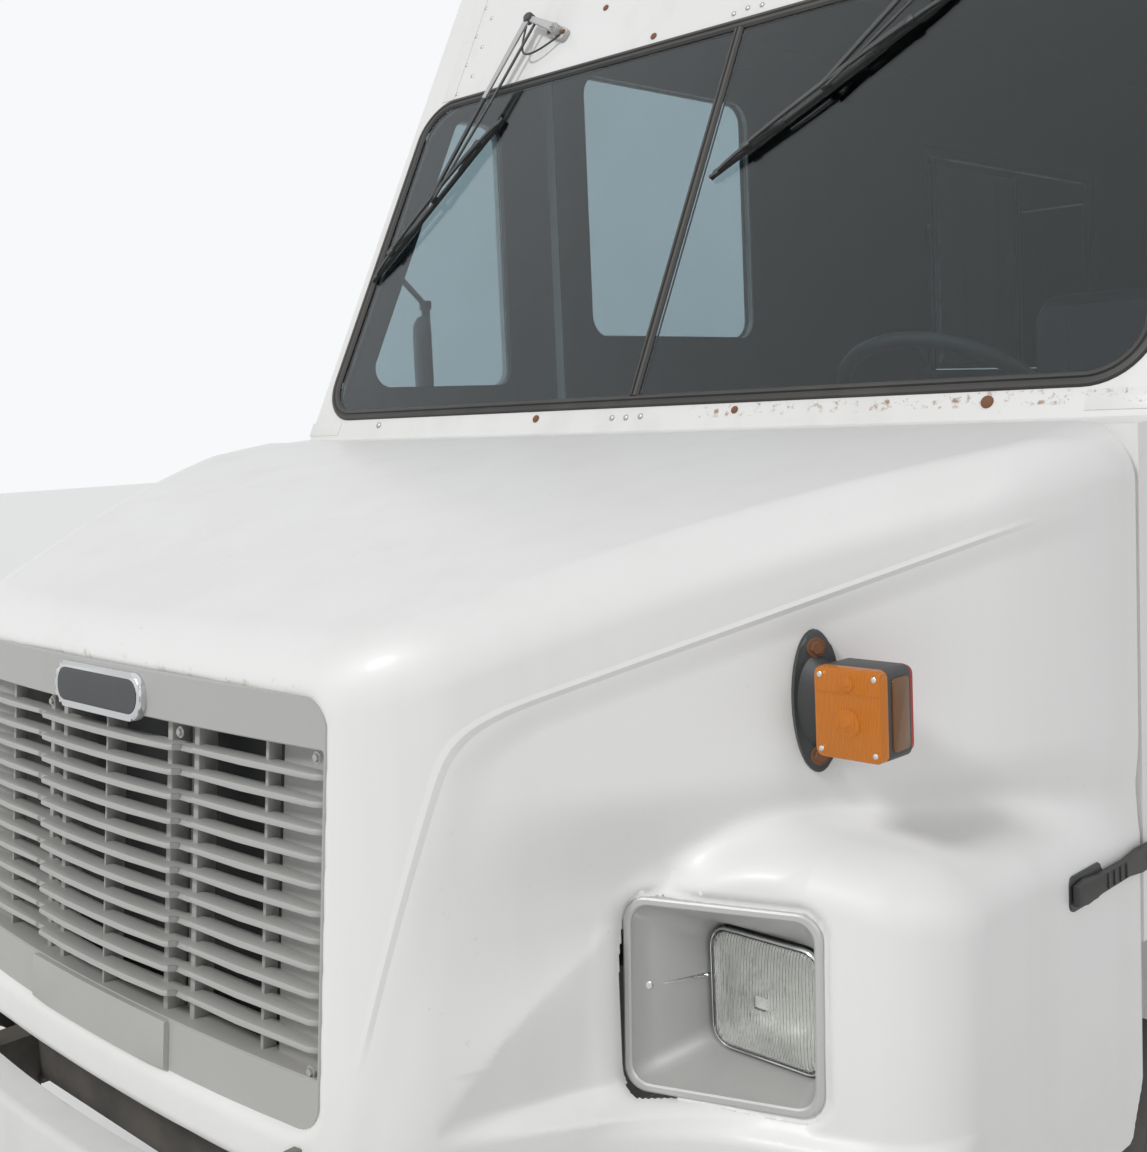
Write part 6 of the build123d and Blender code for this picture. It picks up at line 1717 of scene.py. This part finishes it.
def makeDoorTrim(f=doorTrim):
    y0, y1, z0, z1 = f["window"]
    for sideName, side in sides:
        form = bmesh.new()
        at = sidePlace(side, f["face"], (y0 + y1) / 2, (z0 + z1) / 2)
        wide, proud = f["wide"], f["proud"]
        steps = ((-0.004, -0.010), (-0.004, 0.003), (0.002, proud), (wide - 0.006, proud), (wide, 0.0),
                 (wide, -0.004))
        wide, tall = y1 - y0, z1 - z0
        loops = [raised(roundRect(wide + 2 * g, tall + 2 * g, f["corner"] + g, 8), h) for g, h in steps]
        addLoft(form, loops, at, closed=True)
        grip = placeAt((side * f["face"], f["gripY"], f["gripZ"]), (0, 0, 1), (side, 0, 0))
        addPrism(form, grip, roundRect(0.170, 0.062, 0.012), 0.002, 0.0008, finish=1)
        addPrism(form, grip @ slide(0, 0, 0.0015), roundRect(0.120, 0.022, 0.008), 0.003, 0.001, finish=1)
        makePiece("cabDoorTrim" + sideName.capitalize(), form, [rubberBlack, stainless],
                  "cab_door_" + sideName)
        form = bmesh.new()
        x, y = side * f["rods"], f["rearFace"] + 0.012
        addTube(form, [(x, y, f["rodLow"]), (x, y, f["rodHigh"])], f["rod"], 12, finish=1)
        for z in (f["rodLow"] + 0.06, f["rodMid"], f["rodHigh"] - 0.06):
            addBlock(form, slide(x, f["rearFace"] + 0.006, z), (0.050, 0.013, 0.030), 0.003, finish=1)
        makePiece("rearDoorTrim" + sideName.capitalize(), form, [rubberBlack, stainless],
                  "rear_door_" + sideName)


makeDoorTrim()
print("body trim made")

# Driver's seat: a pedestal, and a padded cushion and back with stitched bands
seatForm = {
    # a place along Y, a height and how tall the piece is
    "x": 0.430, "base": (-1.180, 0.900, 0.260), "cushion": (-1.170, 1.160, 0.130),
    "back": (-0.960, 1.230, 0.620), "bands": 0.140, "band": 0.004, "corner": 0.070,
    # a share of the height and an inset, over a padded block
    "pad": ((0.0, 0.028), (0.10, 0.010), (0.30, 0.0), (0.70, 0.0), (0.88, 0.010), (0.97, 0.030),
            (1.0, 0.060)),
}


def makeSeat(f=seatForm):
    form = bmesh.new()
    x = f["x"]

    def pad(mid, size, crown, at=Matrix()):
        wide, deep, tall = size
        loops = []
        for share, inset in f["pad"]:
            lift = tall * share + (crown if share > 0.9 else 0)
            shape = roundRect(wide - 2 * inset, deep - 2 * inset, f["corner"] - inset * 0.5, 6, 3)
            loops.append(raised(shape, lift))
        addLoft(form, loops, Matrix.Translation(mid) @ at)

    y, z, tall = f["base"]
    addBlock(form, slide(x, y, z + tall / 2), (0.300, 0.400, tall - 0.004), 0.012, finish=1)
    y, z, tall = f["cushion"]
    pad((x, y, z), (0.500, 0.500, tall - 0.012), 0.010)
    y, z, tall = f["back"]
    pad((x, y + 0.055, z + tall / 2), (0.480, tall, 0.105), 0.008, Matrix.Rotation(math.pi / 2, 4, "X"))
    # stitched bands down the back and along the cushion
    seatTop = f["cushion"][1] + 0.126
    for bandX in (x - f["bands"], x + f["bands"]):
        down = ((-0.056, 0.06), (-0.060, tall / 2), (-0.056, tall - 0.06))
        addTube(form, [(bandX, y + dy, z + dz) for dy, dz in down], f["band"], 8)
        addTube(form, [(bandX, y - 0.19, seatTop), (bandX, y - 0.42, seatTop)], f["band"], 8)
    makePiece("driverSeat", form, [seatVinyl, frameBlack], "truck", ("driver_seat",))


makeSeat()

# Chime loudspeaker: a flared horn on its bracket
hornLong = 0.196
hornForm = {
    "y": -1.150, "z": 3.050, "axisZ": 3.160, "rear": -1.132,
    # radius and place along the axis: down the outside, then back along the inside
    "flare": ((0.0, 0.0), (0.043, 0.001), (0.045, 0.012), (0.045, 0.060), (0.052, 0.085), (0.066, 0.130),
              (0.088, hornLong - 0.030), (0.107, hornLong - 0.006), (0.1095, hornLong - 0.002),
              (0.107, hornLong),
              (0.103, hornLong - 0.006), (0.084, hornLong - 0.032), (0.060, 0.132), (0.046, 0.100),
              (0.020, 0.085), (0.0, 0.082)),
    "driver": ((0.0, 0.080), (0.026, 0.082), (0.022, 0.120), (0.010, 0.140), (0.0, 0.142)),
}


def makeHorn(f=hornForm):
    form = bmesh.new()
    addBlock(form, slide(0, f["y"], f["z"] + 0.006), (0.118, 0.158, 0.010), 0.003, finish=1)
    for x in (-0.045, 0.045):
        addBlock(form, slide(x, f["y"], f["z"] + 0.050), (0.006, 0.060, 0.100), 0.002, finish=1)
    at = placeAt((0, f["rear"], f["axisZ"]), (1, 0, 0), (0, -1, 0))
    addLathe(form, at, f["flare"], 48)
    addLathe(form, at, f["driver"], 24)
    makePiece("chimeHorn", form, [rimGrey, zincGrey], "truck", ("loudspeaker",))


makeHorn()
print("seat and horn made")
